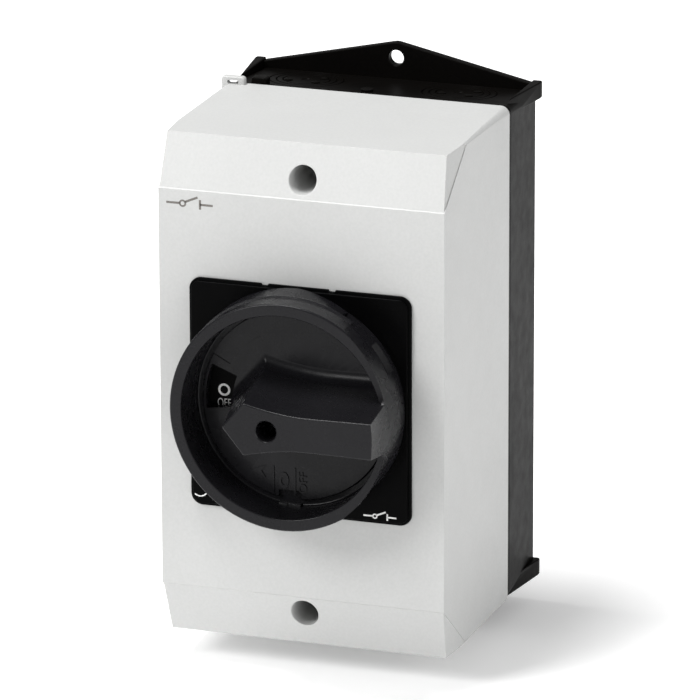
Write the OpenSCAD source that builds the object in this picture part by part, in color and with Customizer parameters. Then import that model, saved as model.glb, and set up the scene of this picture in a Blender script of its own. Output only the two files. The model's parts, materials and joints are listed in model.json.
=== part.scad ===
// Rotary isolator switch in a two-part moulded wall enclosure, with a lockable handle.
// Every piece is drawn lying on its back: X across, Y up the wall, Z out from the wall.
// stand() then turns it upright: +Z is up, the wall plane is Y = 0 and the front faces -Y.

/* [Enclosure] */
// Width where cover and base meet
enc_w = 100; // [90:1:140]
// Height where cover and base meet
enc_h = 174; // [160:1:230]
// Distance from the wall to the cover's front face
enc_d = 100.5; // [92:0.5:130]
// Depth of the base, from the wall to the cover's rear edge
base_d = 34; // [30:1:42]
// Radius of the enclosure's long corners
corner_r = 3; // [2:0.5:5]
// Wall thickness of the base
base_wall = 2.8; // [2.2:0.1:3.4]
// Wall thickness of the cover
cover_wall = 2.8; // [2.8:0.1:3.6]
// How much narrower the base is at the wall than at its rim
base_draft = 2.2; // [0:0.1:4]
// How much the base's top and bottom lean in towards the wall, each
base_lean = 2.5; // [0:0.1:4]
// How much narrower the cover is at its front face
cover_draft = 1.4; // [0:0.1:3]
// Height of the sloping band at each end of the cover
band_h = 18.8; // [16:0.1:24]
// How far the band falls back from the front face
band_fall = 5.6; // [2:0.1:8]
// How much the cover's top and bottom lean in, each
end_lean = 0.9; // [0:0.1:2]

/* [Wall lugs] */
// Thickness of the wall lugs
lug_t = 3.2; // [2.4:0.1:5]
// Radius of a wall screw hole
lug_hole_r = 2.65; // [2:0.05:3.2]
// Distance of a wall screw hole beyond the enclosure's end
lug_reach = 4.5; // [4:0.1:8]
// Radius of the lug's tip
lug_tip_r = 5.3; // [5:0.1:8]

/* [Cover fixing] */
// Distance of a cover screw from the enclosure's end
post_inset = 12.5; // [12:0.1:16]
// Radius of the screwdriver hole
access_r = 4.7; // [4.5:0.1:5]
// Shank radius of a cover screw
cover_screw_r = 2; // [1.5:0.1:2.2]
// Height of the cover screw's seat above the wall
seat_z = 56; // [54:1:60]
// Length of a brass insert
insert_len = 8; // [5:0.5:10]

/* [Front plate and handle] */
// Width of the front plate
plate_w = 76.7; // [74:0.1:84]
// Height of the front plate
plate_h = 78.4; // [74:0.1:84]
// Thickness of the front plate
plate_t = 2.3; // [2:0.1:3.5]
// Thickness of the cover wall behind the plate
panel_t = 3; // [2.6:0.1:4]
// Outer radius of the handle's flange
flange_r = 39.3; // [39:0.1:44]
// Outer radius of the handle ring at its front
ring_r = 38.4; // [37:0.1:41]
// Inner radius of the handle ring
ring_inner_r = 34.6; // [33.5:0.1:35]
// Height of the handle ring above the front plate
ring_h = 17.5; // [15:0.1:24]
// Height of the grip above the handle ring
grip_proud = 14.8; // [8:0.1:20]
// Radius of the raised disc inside the ring
disc_r = 32.4; // [30:0.1:33]
// Radius of the handle's neck in its bearing
neck_r = 9; // [8:0.1:10]
// Travel of the padlock slide
slide_travel = 4; // [2:0.1:4.5]

/* [Switch block] */
// Side of the square switch block
block_w = 46; // [46:1:56]
// Height of one contact chamber
chamber_h = 14; // [13:0.5:18]
// Height of the detent housing
detent_h = 12; // [11:0.5:16]
// Side of the square drive shaft
shaft_w = 6; // [5:0.1:6.4]
// Largest radius of a contact cam
cam_r = 8; // [7.5:0.1:8.4]
// Travel of the moving contacts
contact_travel = 3; // [1.5:0.1:3.2]

/* [Clearances] */
// Gap around a pressed-in or screwed-in piece
fit_gap = 0.05; // [0.02:0.01:0.1]
// Gap around a piece that slides or turns in another
run_gap = 0.12; // [0.1:0.01:0.2]
// Gap between moulded faces that move past each other
face_gap = 0.4; // [0.3:0.05:0.6]

/* [Hidden] */
$fn = 64;

black = [0.1, 0.1, 0.11];
charcoal = [0.16, 0.16, 0.17];
light_grey = [0.82, 0.83, 0.83];
brass = [0.78, 0.62, 0.3];
copper = [0.72, 0.45, 0.3];
steel = [0.68, 0.69, 0.7];
rubber = [0.07, 0.07, 0.07];
ivory = [0.86, 0.84, 0.78];
grey = [0.5, 0.51, 0.52];

eps = 0.01;
pass = 1;

// Enclosure
base_front = base_d - 0.3;
base_rim_w = enc_w - 1;
base_rim_h = enc_h - 1;
base_back_w = base_rim_w - base_draft;
base_back_h = base_rim_h - 2 * base_lean;
rim_depth = 5;
rim_hole_w = enc_w - 8.8;
rim_hole_h = enc_h - 8.8;
gasket_out_w = enc_w - 2.8;
gasket_out_h = enc_h - 2.8;
gasket_w = 1.2;
gasket_z = base_front - 2;
band_z = enc_d - band_fall;
seam_y = enc_h / 2 - band_h;
cover_front_x = (enc_w - cover_draft) / 2;
post_y = enc_h / 2 - post_inset;
post_r = 5.6;
tower_r = 7.2;
tower_z = 46;
post_top = tower_z - face_gap;
insert_r = cover_screw_r + 1.2;
screw_end = post_top - insert_len - 2;
seal_t = 1.4;
screw_head_r = access_r - 0.5;
screw_head_h = 3.4;
lug_hole_y = enc_h / 2 + lug_reach;

// Front plate and handle
plate_z = enc_d + plate_t;
handle_z = plate_z + face_gap;
floor_z = handle_z + 1.6;
disc_z = floor_z + 1.4;
ring_z = plate_z + face_gap + ring_h;
grip_z = ring_z + grip_proud;
panel_z = enc_d - panel_t;
bearing_r = neck_r + 3;
bearing_flange_r = bearing_r + 2.5;
bearing_z = panel_z - 1.8;
neck_z = enc_d - 1.5;
collar_z = bearing_z - 0.2;
socket_z = collar_z - 11.5;
socket_hole_top = neck_z - 5.5;
handle_screw_r = 1.5;
handle_seat_z = disc_z + 6;
plate_boss_r = 3;
plate_boss_at = plate_w / 2 - 8.15;
plate_screw_r = 1.2;
plate_boss_end = panel_z + 0.1;
seal_in_r = bearing_r + 1;
seal_out_r = seal_in_r + 3;
seal_h = 1.1;
slot_x = -2;
slot_w = 8;
slide_tip = -ring_inner_r + 0.8;
rim_r = 36.9;
undercut_z = ring_z - 8.7;
tail_off = 4.9;
tail_r = 41.6;

// Switch block, from the wall outwards
foot_z = base_wall + 2.2;
foot_t = 3;
rear_z = foot_z + foot_t;
front_z = rear_z + chamber_h;
detent_z = front_z + chamber_h;
flange_z = detent_z + detent_h;
flange_t = 3;
block_top = flange_z + flange_t;
floor_t = 1.6;
shaft_hole_r = shaft_w * 0.707 + 0.35;
coupling_z = block_top + 1;
coupling_h = 12;
coupling_r = shaft_w / 2 + 3;
shaft_joint_z = coupling_z + coupling_h / 2;
shaft_top = socket_hole_top - 0.6;
foot_screw_y = block_w / 2 + 4;
foot_pad_at = block_w / 2 - 6;
tie_x = block_w / 2 - 3.2;
tie_y = 10.8;
tie_r = 1.5;

// Contacts, measured in one chamber
carrier_w = 8;
carrier_h = 7;
carrier_lift = 3.4;
carrier_x = cam_r + run_gap;
carrier_end = block_w / 2 - 5.5;
spring_wall = block_w / 2 - 2;
spring_pocket = 3;
spring_r = 2.1;
spring_wire = 0.25;
bridge_x = carrier_x + 4.3;
bridge_t = 1.2;
bridge_l = 24;
tip_r = 1.8;
tip_t = 0.8;
tip_y = 10;
contact_face = bridge_x - tip_t - contact_travel - 0.1;
contact_t = 1.2;
contact_back = contact_face - contact_t;
terminal_w = 7.6;
terminal_y = 14.5;
terminal_l = 7;
contact_lift = 4.4;
contact_h = 5;
mid_lift = carrier_lift + carrier_h / 2;
wire_r = 1.9;
terminal_screw_y = terminal_y + terminal_l / 2;
cam_lift = 3;
cam_t = 8;

// Detent
wheel_r = 9;
notch_r = 2.4;
plunger_r = 1.9;
plunger_x = wheel_r + plunger_r + run_gap;
plunger_w = 6;
plunger_l = 6;
detent_spring_x = plunger_x + plunger_l - 4;

module stand() rotate([90, 0, 0]) children();

module both_ends(y) for (side = [-1, 1]) translate([0, side * y, 0]) children();

module mirror_pair() for (side = [0, 1]) mirror([side, 0, 0]) children();

module four_corners() for (x = [0, 1], y = [0, 1]) mirror([x, 0, 0]) mirror([0, y, 0]) children();

module diagonal_pair(x, y) for (turn = [0, 180]) rotate([0, 0, turn]) translate([x, y, 0]) children();

module outline(w, h, r) offset(r = r, $fn = 32) square([w - 2 * r, h - 2 * r], center = true);

module slab(w, h, r, z0, z1) translate([0, 0, z0]) linear_extrude(z1 - z0) outline(w, h, r);

// A block whose ends differ in width and height
module drafted(w0, h0, w1, h1, r, z0, z1) {
    translate([0, 0, z0])
        linear_extrude(z1 - z0, scale = [w1 / w0, h1 / h0], slices = 1, $fn = 0)
            outline(w0, h0, r);
}

// A block from one corner to the opposite one
module box(low, high) translate(low) cube(high - low);

module rod(r, z0, z1) translate([0, 0, z0]) cylinder(r = r, h = z1 - z0);

module tube(r_out, r_in, z0, z1) {
    difference() {
        rod(r_out, z0, z1);
        rod(r_in, z0 - pass, z1 + pass);
    }
}

// A ring groove or window from angle a0 to angle a1
module arc_slot(r0, r1, a0, a1, z0, z1) {
    rotate([0, 0, a0])
        rotate_extrude(angle = a1 - a0)
            translate([r0, z0])
                square([r1 - r0, z1 - z0]);
}

module square_bar(w, z0, z1) translate([-w / 2, -w / 2, z0]) cube([w, w, z1 - z0]);

// A pan-head screw pointing at the wall, with its head's underside at z
module screw(r, head_r, head_h, z, length) {
    difference() {
        union() {
            rod(r, z - length, z + eps);
            rod(head_r, z, z + head_h);
        }
        for (turn = [0, 90])
            rotate([0, 0, turn])
                translate([-head_r - pass, -0.5, z + head_h * 0.5])
                    cube([2 * head_r + 2 * pass, 1, head_h]);
    }
}

// A round wire wound along X, from x = 0 to x = length
module coil_spring(r, wire, length, turns) {
    steps = 14;
    sides = 6;
    rings = turns * steps;
    pitch = (length - 2 * wire) / rings;
    points = [
        for (i = [0 : rings], j = [0 : sides - 1])
            let (a = i * 360 / steps, b = j * 360 / sides, rr = r + wire * cos(b))
                [wire + i * pitch + wire * sin(b), rr * cos(a), rr * sin(a)]
    ];
    walls = [
        for (i = [0 : rings - 1], j = [0 : sides - 1])
            let (n = (j + 1) % sides)
                [i * sides + j, i * sides + n, (i + 1) * sides + n, (i + 1) * sides + j]
    ];
    caps = [[for (j = [sides - 1 : -1 : 0]) j], [for (j = [0 : sides - 1]) rings * sides + j]];
    polyhedron(points, concat(walls, caps));
}

// ---- Base ----

// Height of the base's end wall above the centre line, at depth z
function end_wall_y(z) = (base_back_h + (base_rim_h - base_back_h) * z / base_front) / 2;

module knockout_rings(x) {
    ring_depth = 0.5;
    lean_angle = atan((base_rim_h - base_back_h) / 2 / base_front);
    mid = base_front / 2;
    for (x_side = [-x, x])
        translate([x_side, end_wall_y(mid), mid])
            rotate([-90 - lean_angle, 0, 0])
                for (r = [8, 10.2, 12.6])
                    tube(r + 0.4, r - 0.4, -ring_depth, ring_depth);
}

module wall_lug() {
    foot_x = base_back_w / 2 - 2.2;
    linear_extrude(lug_t)
        hull() {
            translate([0, lug_hole_y]) circle(lug_tip_r, $fn = 32);
            translate([-foot_x, base_back_h / 2 - 8]) square([2 * foot_x, 10.5]);
        }
}

// A thin wedge on the side wall, thickest at the wall
module corner_ear() {
    ear_l = 5.7;
    ear_reach = 2.4;
    ear_z = base_front - 6;
    ear_root = base_back_w / 2 - 1;
    translate([0, base_back_h / 2 + 3.2, 0])
        rotate([90, 0, 0])
            linear_extrude(ear_l)
                polygon([
                    [ear_root, 0], [ear_root + 1 + ear_reach, 0],
                    [ear_root + 1 + ear_reach, 2.4], [ear_root, ear_z]
                ]);
}

module bar_pad() {
    for (x = [-13.2, 12])
        translate([x, -4.2, base_wall - eps]) cube([1.2, 8.4, 7]);
    translate([-12, -3, base_wall - eps]) cube([24, 6, 1.2]);
}

bar_x = enc_w / 2 - 21;
bar_y = -(enc_h / 2 - 26);
bar_z = base_wall + 1.2;

// The gasket in the base's rim, or its groove when given a gap
module gasket_ring(gap, front) {
    in = 2 * gasket_w + 2 * gap;
    difference() {
        slab(gasket_out_w + 2 * gap, gasket_out_h + 2 * gap, corner_r - 0.9, gasket_z, front);
        slab(gasket_out_w - in, gasket_out_h - in, 1, gasket_z - pass, front + pass);
    }
}

module base_shell() {
    color(black) stand() difference() {
        union() {
            difference() {
                drafted(base_back_w, base_back_h, base_rim_w, base_rim_h, corner_r, 0, base_front);
                drafted(
                    base_back_w - 2 * base_wall, base_back_h - 2 * base_wall,
                    base_rim_w - 2 * base_wall, base_rim_h - 2 * base_wall,
                    corner_r - 1, base_wall, base_front - rim_depth
                );
                slab(rim_hole_w, rim_hole_h, 2, base_front - rim_depth - eps, base_front + pass);
            }
            diagonal_pair(0, 0) wall_lug();
            four_corners() corner_ear();
            both_ends(post_y) rod(post_r, base_wall - eps, post_top);
            both_ends(foot_screw_y) rod(4.5, base_wall - eps, foot_z);
            four_corners() translate([foot_pad_at, foot_pad_at]) rod(3, base_wall - eps, foot_z);
            mirror_pair() translate([bar_x, bar_y]) bar_pad();
            translate([-enc_w / 2 + 9.2, enc_h / 2 - 1.5, base_front - 4]) cube([5.4, 3.6, 4]);
        }
        gasket_ring(fit_gap, base_front + pass);
        diagonal_pair(0, 0) knockout_rings(enc_w * 0.27);
        both_ends(lug_hole_y) rod(lug_hole_r, -pass, lug_t + pass);
        both_ends(post_y) rod(insert_r + fit_gap, post_top - insert_len, post_top + pass);
        both_ends(post_y) rod(cover_screw_r + 0.2, screw_end - 1, post_top);
        both_ends(foot_screw_y) rod(1.95 + fit_gap, 1, foot_z + pass);
        mirror_pair() translate([base_back_w / 2, base_back_h / 2 - 20]) rod(0.9, -pass, 1);
    }
}

module cover_gasket() {
    color(rubber) stand() gasket_ring(0, base_d);
}

module thread_inserts() {
    color(brass) stand() both_ends(post_y)
        tube(insert_r, cover_screw_r + fit_gap, post_top - insert_len, post_top);
}

module terminal_bar() {
    difference() {
        translate([-11.8, -3.6, bar_z]) cube([23.6, 7.2, 8]);
        for (x = [-7.6, 0, 7.6]) {
            translate([x, 5, bar_z + 3]) rotate([90, 0, 0]) cylinder(r = 1.9, h = 10);
            translate([x, 0, 0]) rod(1.45 + fit_gap, bar_z + 3, bar_z + 9);
        }
    }
}

module earth_terminal() {
    color(brass) stand() translate([bar_x, bar_y]) terminal_bar();
}

module neutral_terminal() {
    color(brass) stand() translate([-bar_x, bar_y]) terminal_bar();
}

module bar_screws() {
    color(steel) stand() mirror_pair() translate([bar_x, bar_y])
        for (x = [-7.6, 0, 7.6])
            translate([x, 0, 0]) screw(1.45, 2.4, 2, bar_z + 8.2, 3.6);
}

// ---- Switch block ----

module mounting_foot() {
    color(black) stand() difference() {
        union() {
            slab(block_w, block_w, 2, foot_z, rear_z);
            slab(12, 2 * foot_screw_y + 9, 3, foot_z, rear_z);
        }
        both_ends(foot_screw_y) rod(2.15, foot_z - pass, rear_z + pass);
        diagonal_pair(tie_x, tie_y) rod(tie_r + fit_gap, foot_z + 0.6, rear_z + pass);
        rod(shaft_hole_r, foot_z + 1.4, rear_z + pass);
    }
}

module foot_screws() {
    color(steel) stand() both_ends(foot_screw_y) screw(1.95, 3.6, 2.4, rear_z, 6.2);
}

// One insulated chamber with channels for the carriers, contacts and terminals
module chamber(z) {
    inside = z + floor_t;
    top = z + chamber_h;
    difference() {
        slab(block_w, block_w, 2, z, top);
        rod(cam_r + 1.6, inside, top + pass);
        rod(shaft_hole_r, z - pass, top);
        translate([-spring_wall, -carrier_w / 2 - run_gap, z + carrier_lift - run_gap])
            cube([2 * spring_wall, carrier_w + 2 * run_gap, chamber_h]);
        for (side = [0, 1]) mirror([side, 0, 0]) {
            box([contact_back - 0.4, -15, inside + 1.6], [bridge_x + bridge_t + 0.6, 15, top + pass]);
            for (end = [0, 1]) mirror([0, end, 0]) {
                box(
                    [contact_back - fit_gap, terminal_y - 0.6, z + 2.4],
                    [contact_back + terminal_w + fit_gap, block_w / 2 + pass, top + pass]
                );
                translate([0, terminal_screw_y, z + mid_lift])
                    rotate([0, 90, 0])
                        cylinder(r = 2.5, h = block_w);
            }
        }
        diagonal_pair(tie_x, tie_y) rod(tie_r + fit_gap, z - pass, top + pass);
    }
}

module rear_chamber() {
    color(ivory) stand() chamber(rear_z);
}

module front_chamber() {
    color(ivory) stand() chamber(front_z);
}

// A contact strip and its terminal block in one
module fixed_contact(z) {
    strip_z = z + contact_lift;
    terminal_x = contact_back + terminal_w / 2;
    difference() {
        union() {
            box(
                [contact_back, tip_y - 1.9, strip_z],
                [contact_face, terminal_y + 1, strip_z + contact_h]
            );
            box(
                [contact_back, terminal_y, z + 2.6],
                [contact_back + terminal_w, terminal_y + terminal_l, z + 11.2]
            );
        }
        translate([terminal_x, block_w / 2, z + mid_lift])
            rotate([90, 0, 0])
                cylinder(r = wire_r, h = block_w / 2 - terminal_y - 1);
        translate([terminal_x, terminal_screw_y, z + mid_lift])
            rotate([0, 90, 0])
                cylinder(r = 1.4 + fit_gap, h = terminal_w);
    }
}

module fixed_contacts() {
    color(copper) stand() for (z = [rear_z, front_z]) four_corners() fixed_contact(z);
}

module terminal_screw(z) {
    translate([contact_back + terminal_w, terminal_screw_y, z + mid_lift])
        rotate([0, 90, 0])
            difference() {
                union() {
                    rod(1.4, -1.4, eps);
                    rod(2.2, 0.1, 2);
                    rod(1.4, 0, 0.2);
                }
                translate([-3, -0.4, 1]) cube([6, 0.8, 2]);
            }
}

module terminal_screws() {
    color(steel) stand() for (z = [rear_z, front_z]) four_corners() terminal_screw(z);
}

module detent_housing() {
    color(black) stand() difference() {
        slab(block_w, block_w, 2, detent_z, flange_z);
        rod(wheel_r + 2, detent_z + floor_t, flange_z + pass);
        rod(shaft_hole_r, detent_z - pass, flange_z);
        translate([-spring_wall, -plunger_w / 2 - run_gap, detent_z + floor_t])
            cube([2 * spring_wall, plunger_w + 2 * run_gap, detent_h]);
        diagonal_pair(tie_x, tie_y) rod(tie_r + fit_gap, detent_z - pass, flange_z + pass);
    }
}

module detent_plungers() {
    z0 = detent_z + floor_t + 0.4;
    color(steel) stand() mirror_pair() difference() {
        union() {
            translate([plunger_x, 0, 0]) rod(plunger_r, z0, z0 + 8);
            box([plunger_x, -plunger_w / 2, z0], [plunger_x + plunger_l, plunger_w / 2, z0 + 8]);
        }
        translate([detent_spring_x, 0, z0 + 4])
            rotate([0, 90, 0])
                cylinder(r = 2.5, h = 5);
    }
}

module detent_springs() {
    color(steel) stand() mirror_pair()
        translate([detent_spring_x + 0.05, 0, detent_z + floor_t + 4.4])
            coil_spring(2, spring_wire, spring_wall - detent_spring_x - 0.1, 5);
}

module front_flange() {
    color(black) stand() difference() {
        slab(block_w, block_w, 2, flange_z, block_top);
        rod(shaft_hole_r, flange_z - pass, block_top + pass);
        diagonal_pair(tie_x, tie_y) rod(tie_r + fit_gap, flange_z - pass, block_top + pass);
    }
}

module tie_screws() {
    color(steel) stand() diagonal_pair(tie_x, tie_y)
        screw(tie_r, 2.8, 2, block_top, block_top - foot_z - 0.8);
}

// ---- Rotor ----

// Cam radius at an angle: it falls by the contact travel over each quarter turn
function cam_radius(a) =
    let (b = a % 180) cam_r - contact_travel * (b <= 90 ? b : 180 - b) / 90;

module cam(z) {
    difference() {
        translate([0, 0, z + cam_lift])
            linear_extrude(cam_t)
                polygon([for (a = [0 : 5 : 355]) cam_radius(a) * [cos(a), sin(a)]]);
        square_bar(shaft_w + 2 * fit_gap, z, z + chamber_h);
    }
}

module rear_cam() {
    color(grey) stand() cam(rear_z);
}

module front_cam() {
    color(grey) stand() cam(front_z);
}

module cam_shaft() {
    color(steel) stand() square_bar(shaft_w, foot_z + 1.6, shaft_joint_z - 0.2);
}

module detent_wheel() {
    color(grey) stand() difference() {
        rod(wheel_r, detent_z + floor_t + 0.4, detent_z + floor_t + 8);
        for (a = [0 : 90 : 270])
            rotate([0, 0, a])
                translate([wheel_r + 1.2, 0, 0])
                    rod(notch_r, detent_z, flange_z);
        square_bar(shaft_w + 2 * fit_gap, detent_z, flange_z);
    }
}

module shaft_coupling() {
    color(steel) stand() difference() {
        rod(coupling_r, coupling_z, coupling_z + coupling_h);
        square_bar(shaft_w + 2 * fit_gap, coupling_z - pass, coupling_z + coupling_h + pass);
        for (z = [3, coupling_h - 3])
            translate([0, 0, coupling_z + z])
                rotate([0, 90, 0])
                    cylinder(r = 1.25 + fit_gap, h = coupling_r + pass);
    }
}

module coupling_screws() {
    color(charcoal) stand() for (z = [3, coupling_h - 3])
        translate([shaft_w / 2 + fit_gap, 0, coupling_z + z])
            rotate([0, 90, 0])
                difference() {
                    cylinder(r = 1.25, h = 2.6);
                    translate([0, 0, 1.2]) cylinder(r = 0.7, h = 3, $fn = 6);
                }
}

module extension_shaft() {
    color(steel) stand() square_bar(shaft_w, shaft_joint_z + 0.2, shaft_top);
}

// ---- Moving contacts ----

// A carrier on the right of the shaft, with its nose on the cam
module carrier(z) {
    z0 = z + carrier_lift;
    nose_r = 1.2;
    difference() {
        union() {
            box(
                [carrier_x + nose_r, -carrier_w / 2, z0],
                [carrier_end, carrier_w / 2, z0 + carrier_h]
            );
            translate([carrier_x + nose_r, 0, 0]) rod(nose_r, z0, z0 + carrier_h);
        }
        translate([carrier_end - spring_pocket, 0, z + mid_lift])
            rotate([0, 90, 0])
                cylinder(r = spring_r + spring_wire + 0.25, h = spring_pocket + pass);
        box(
            [bridge_x - fit_gap, -carrier_w, z + contact_lift - fit_gap],
            [bridge_x + bridge_t + fit_gap, carrier_w, z + contact_lift + contact_h + fit_gap]
        );
    }
}

module bridge(z) {
    z0 = z + contact_lift;
    box([bridge_x, -bridge_l / 2, z0], [bridge_x + bridge_t, bridge_l / 2, z0 + contact_h]);
    both_ends(tip_y)
        translate([bridge_x - tip_t, 0, z0 + contact_h / 2])
            rotate([0, 90, 0])
                cylinder(r = tip_r, h = tip_t + eps);
}

module spring_pair() {
    for (z = [rear_z, front_z])
        translate([carrier_end - spring_pocket + 0.05, 0, z + mid_lift])
            coil_spring(spring_r, spring_wire, spring_wall - carrier_end + spring_pocket - 0.1, 5);
}

module right_carriers() {
    color(ivory) stand() for (z = [rear_z, front_z]) carrier(z);
}

module left_carriers() {
    color(ivory) stand() mirror([1, 0, 0]) for (z = [rear_z, front_z]) carrier(z);
}

module right_bridges() {
    color(copper) stand() for (z = [rear_z, front_z]) bridge(z);
}

module left_bridges() {
    color(copper) stand() mirror([1, 0, 0]) for (z = [rear_z, front_z]) bridge(z);
}

module right_springs() {
    color(steel) stand() spring_pair();
}

module left_springs() {
    color(steel) stand() mirror([1, 0, 0]) spring_pair();
}

// ---- Cover ----

// The cover's outer form, or its hollow when inset from it
module cover_form(inset, front, back) {
    half_h = enc_h / 2;
    intersection() {
        translate([-enc_w, 0, 0])
            rotate([90, 0, 90])
                linear_extrude(2 * enc_w)
                    offset(delta = -inset)
                        polygon([
                            [-half_h, back - inset], [half_h, back - inset],
                            [half_h - end_lean, band_z], [seam_y, enc_d],
                            [-seam_y, enc_d], [-half_h + end_lean, band_z]
                        ]);
        translate([0, enc_h, 0])
            rotate([90, 0, 0])
                linear_extrude(2 * enc_h)
                    offset(delta = -inset)
                        polygon([
                            [-enc_w / 2, back - inset], [enc_w / 2, back - inset],
                            [cover_front_x, enc_d + inset], [-cover_front_x, enc_d + inset]
                        ]);
        slab(enc_w - 2 * inset, enc_h - 2 * inset, max(corner_r - inset, 0.6), back, front);
    }
}

// A flat facet at each end of a side wall, from the seam's corner back to the end wall
module end_facet() {
    seam = [cover_front_x, seam_y, enc_d];
    facet_back = [enc_w / 2 - 0.35, enc_h / 2, base_d + 0.64 * (enc_d - base_d)];
    facet_tip = [enc_w / 2 - 1.6, enc_h / 2 - end_lean, band_z];
    normal = cross(facet_tip - seam, facet_back - seam);
    outward = normal * sign(normal[0]);
    reach = enc_h;
    translate(seam)
        rotate([0, -asin(outward[2] / norm(outward)), atan2(outward[1], outward[0])])
            translate([0, -reach, -reach])
                cube([10, 2 * reach, 2 * reach]);
}

// Eye for a lead seal on the cover's rear edge
module seal_eye() {
    eye_w = 8.2;
    translate([-enc_w / 2 + eye_w / 2 - 0.4, enc_h / 2 - 0.6, base_d])
        difference() {
            linear_extrude(2.6) outline(eye_w, 6.4, 1);
            translate([0, 1.3, -pass]) linear_extrude(5) outline(4, 1.3, 0.6);
        }
}

module cover_shell() {
    color(light_grey) stand() difference() {
        union() {
            difference() {
                cover_form(0, enc_d, base_d);
                four_corners() end_facet();
                cover_form(cover_wall, panel_z, base_d - pass);
            }
            intersection() {
                both_ends(post_y) rod(tower_r, tower_z, enc_d);
                cover_form(cover_wall / 2, enc_d, base_d);
            }
            seal_eye();
        }
        both_ends(post_y) rod(access_r, seat_z, enc_d + pass);
        both_ends(post_y) rod(cover_screw_r + 0.3, tower_z - pass, seat_z + pass);
        rod(bearing_r + fit_gap, panel_z - pass, enc_d + pass);
        plate_corners() rod(plate_boss_r + fit_gap, panel_z - pass, enc_d + pass);
    }
}

module plate_corners() four_corners() translate([plate_boss_at, plate_boss_at]) children();

module cover_screws() {
    color(steel) stand() both_ends(post_y)
        screw(cover_screw_r, screw_head_r, screw_head_h, seat_z + seal_t, seat_z + seal_t - screw_end);
}

module screw_seals() {
    color(rubber) stand() both_ends(post_y)
        tube(access_r - 0.6, cover_screw_r + fit_gap, seat_z, seat_z + seal_t);
}

module front_plate() {
    step_t = 1.2;
    step_in = 1.8;
    color(black) stand() difference() {
        union() {
            slab(plate_w, plate_h, 4, enc_d, enc_d + step_t);
            slab(plate_w - step_in, plate_h - step_in, 3.6, enc_d, plate_z);
            plate_corners() rod(plate_boss_r, plate_boss_end, enc_d + eps);
        }
        rod(bearing_r + fit_gap, enc_d - pass, plate_z + pass);
        tube(seal_out_r + 0.1, seal_in_r - 0.1, enc_d - pass, enc_d + seal_h);
        plate_corners() rod(plate_screw_r + fit_gap, plate_boss_end - pass, plate_z - 0.7);
        for (x = [-12.2, 11])
            translate([x - 1.2, plate_h / 2 - 0.8, enc_d - pass])
                cube([2.4, 2, plate_t + 2 * pass]);
    }
}

module plate_screws() {
    color(steel) stand() plate_corners()
        mirror([0, 0, 1]) screw(plate_screw_r, 3.9, 2, -panel_z, plate_z - 0.9 - panel_z);
}

module plate_seal() {
    color(rubber) stand() tube(seal_out_r, seal_in_r, enc_d, enc_d + seal_h);
}

module handle_bearing() {
    color(ivory) stand() difference() {
        union() {
            rod(bearing_r, bearing_z, plate_z + 0.1);
            rod(bearing_flange_r, bearing_z, panel_z);
        }
        rod(neck_r + fit_gap, bearing_z - pass, plate_z + pass);
    }
}

// ---- Handle ----

grip_steps = 10;
grip_tip_x = -15.1;
grip_shoulder_x = -7.7;
grip_shoulder_y = 8.9;
grip_waist_y = 5.8;
grip_waist_at = 0.46;
grip_tail_x = 36.6;
grip_tail_y = 6.1;
grip_draft = 5;
grip_tail_draft = 0.6;
grip_tip_draft = 6.5;
grip_shoulder_draft = 2.2;

// Half-width of the grip's top face, t of the way from its shoulder to its tail
function grip_side(t) =
    t < grip_waist_at
        ? grip_waist_y + (grip_shoulder_y - grip_waist_y) * pow(1 - t / grip_waist_at, 1.8)
        : grip_waist_y + (grip_tail_y - grip_waist_y) * (t - grip_waist_at) / (1 - grip_waist_at);

// The grip's outline with its sides drafted outwards by k of their full draft
function grip_outline(k) =
    let (
        start = grip_shoulder_x - k * grip_shoulder_draft,
        end = grip_tail_x + k * grip_tail_draft,
        side = [
            for (i = [0 : grip_steps])
                let (t = i / grip_steps) [start + t * (end - start), grip_side(t) + k * grip_draft]
        ]
    )
    concat(
        [[grip_tip_x - k * grip_tip_draft, 0]],
        [for (i = [grip_steps : -1 : 0]) [side[grip_steps - i][0], -side[grip_steps - i][1]]],
        [for (i = [0 : grip_steps]) side[grip_steps - i]]
    );

module grip_form() {
    foot = grip_outline(1);
    top = grip_outline(0);
    n = len(foot);
    points = concat(
        [for (p = foot) [p[0], p[1], floor_z]],
        [for (p = top) [p[0], p[1], grip_z]]
    );
    walls = [for (i = [0 : n - 1]) let (j = (i + 1) % n) each [[i, i + n, j + n], [i, j + n, j]]];
    caps = [[for (i = [0 : n - 1]) i], [for (i = [n - 1 : -1 : 0]) i + n]];
    intersection() {
        polyhedron(points, concat(walls, caps));
        rod(flange_r - 0.3, floor_z - pass, grip_z + pass);
    }
}

// The ring, its flange and the floor inside it, as one turned shape
module cup_form() {
    rotate_extrude()
        polygon([
            [0, handle_z], [flange_r, handle_z], [flange_r, floor_z + 0.4],
            [flange_r - 0.3, floor_z + 7], [ring_r + 0.4, floor_z + 7.3],
            [ring_r, ring_z - 0.6], [ring_r - 0.6, ring_z],
            [ring_inner_r + 0.4, ring_z], [ring_inner_r, ring_z - 0.4], [ring_inner_r, floor_z],
            [disc_r + 0.2, floor_z], [disc_r, disc_z], [0, disc_z]
        ]);
}

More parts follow.
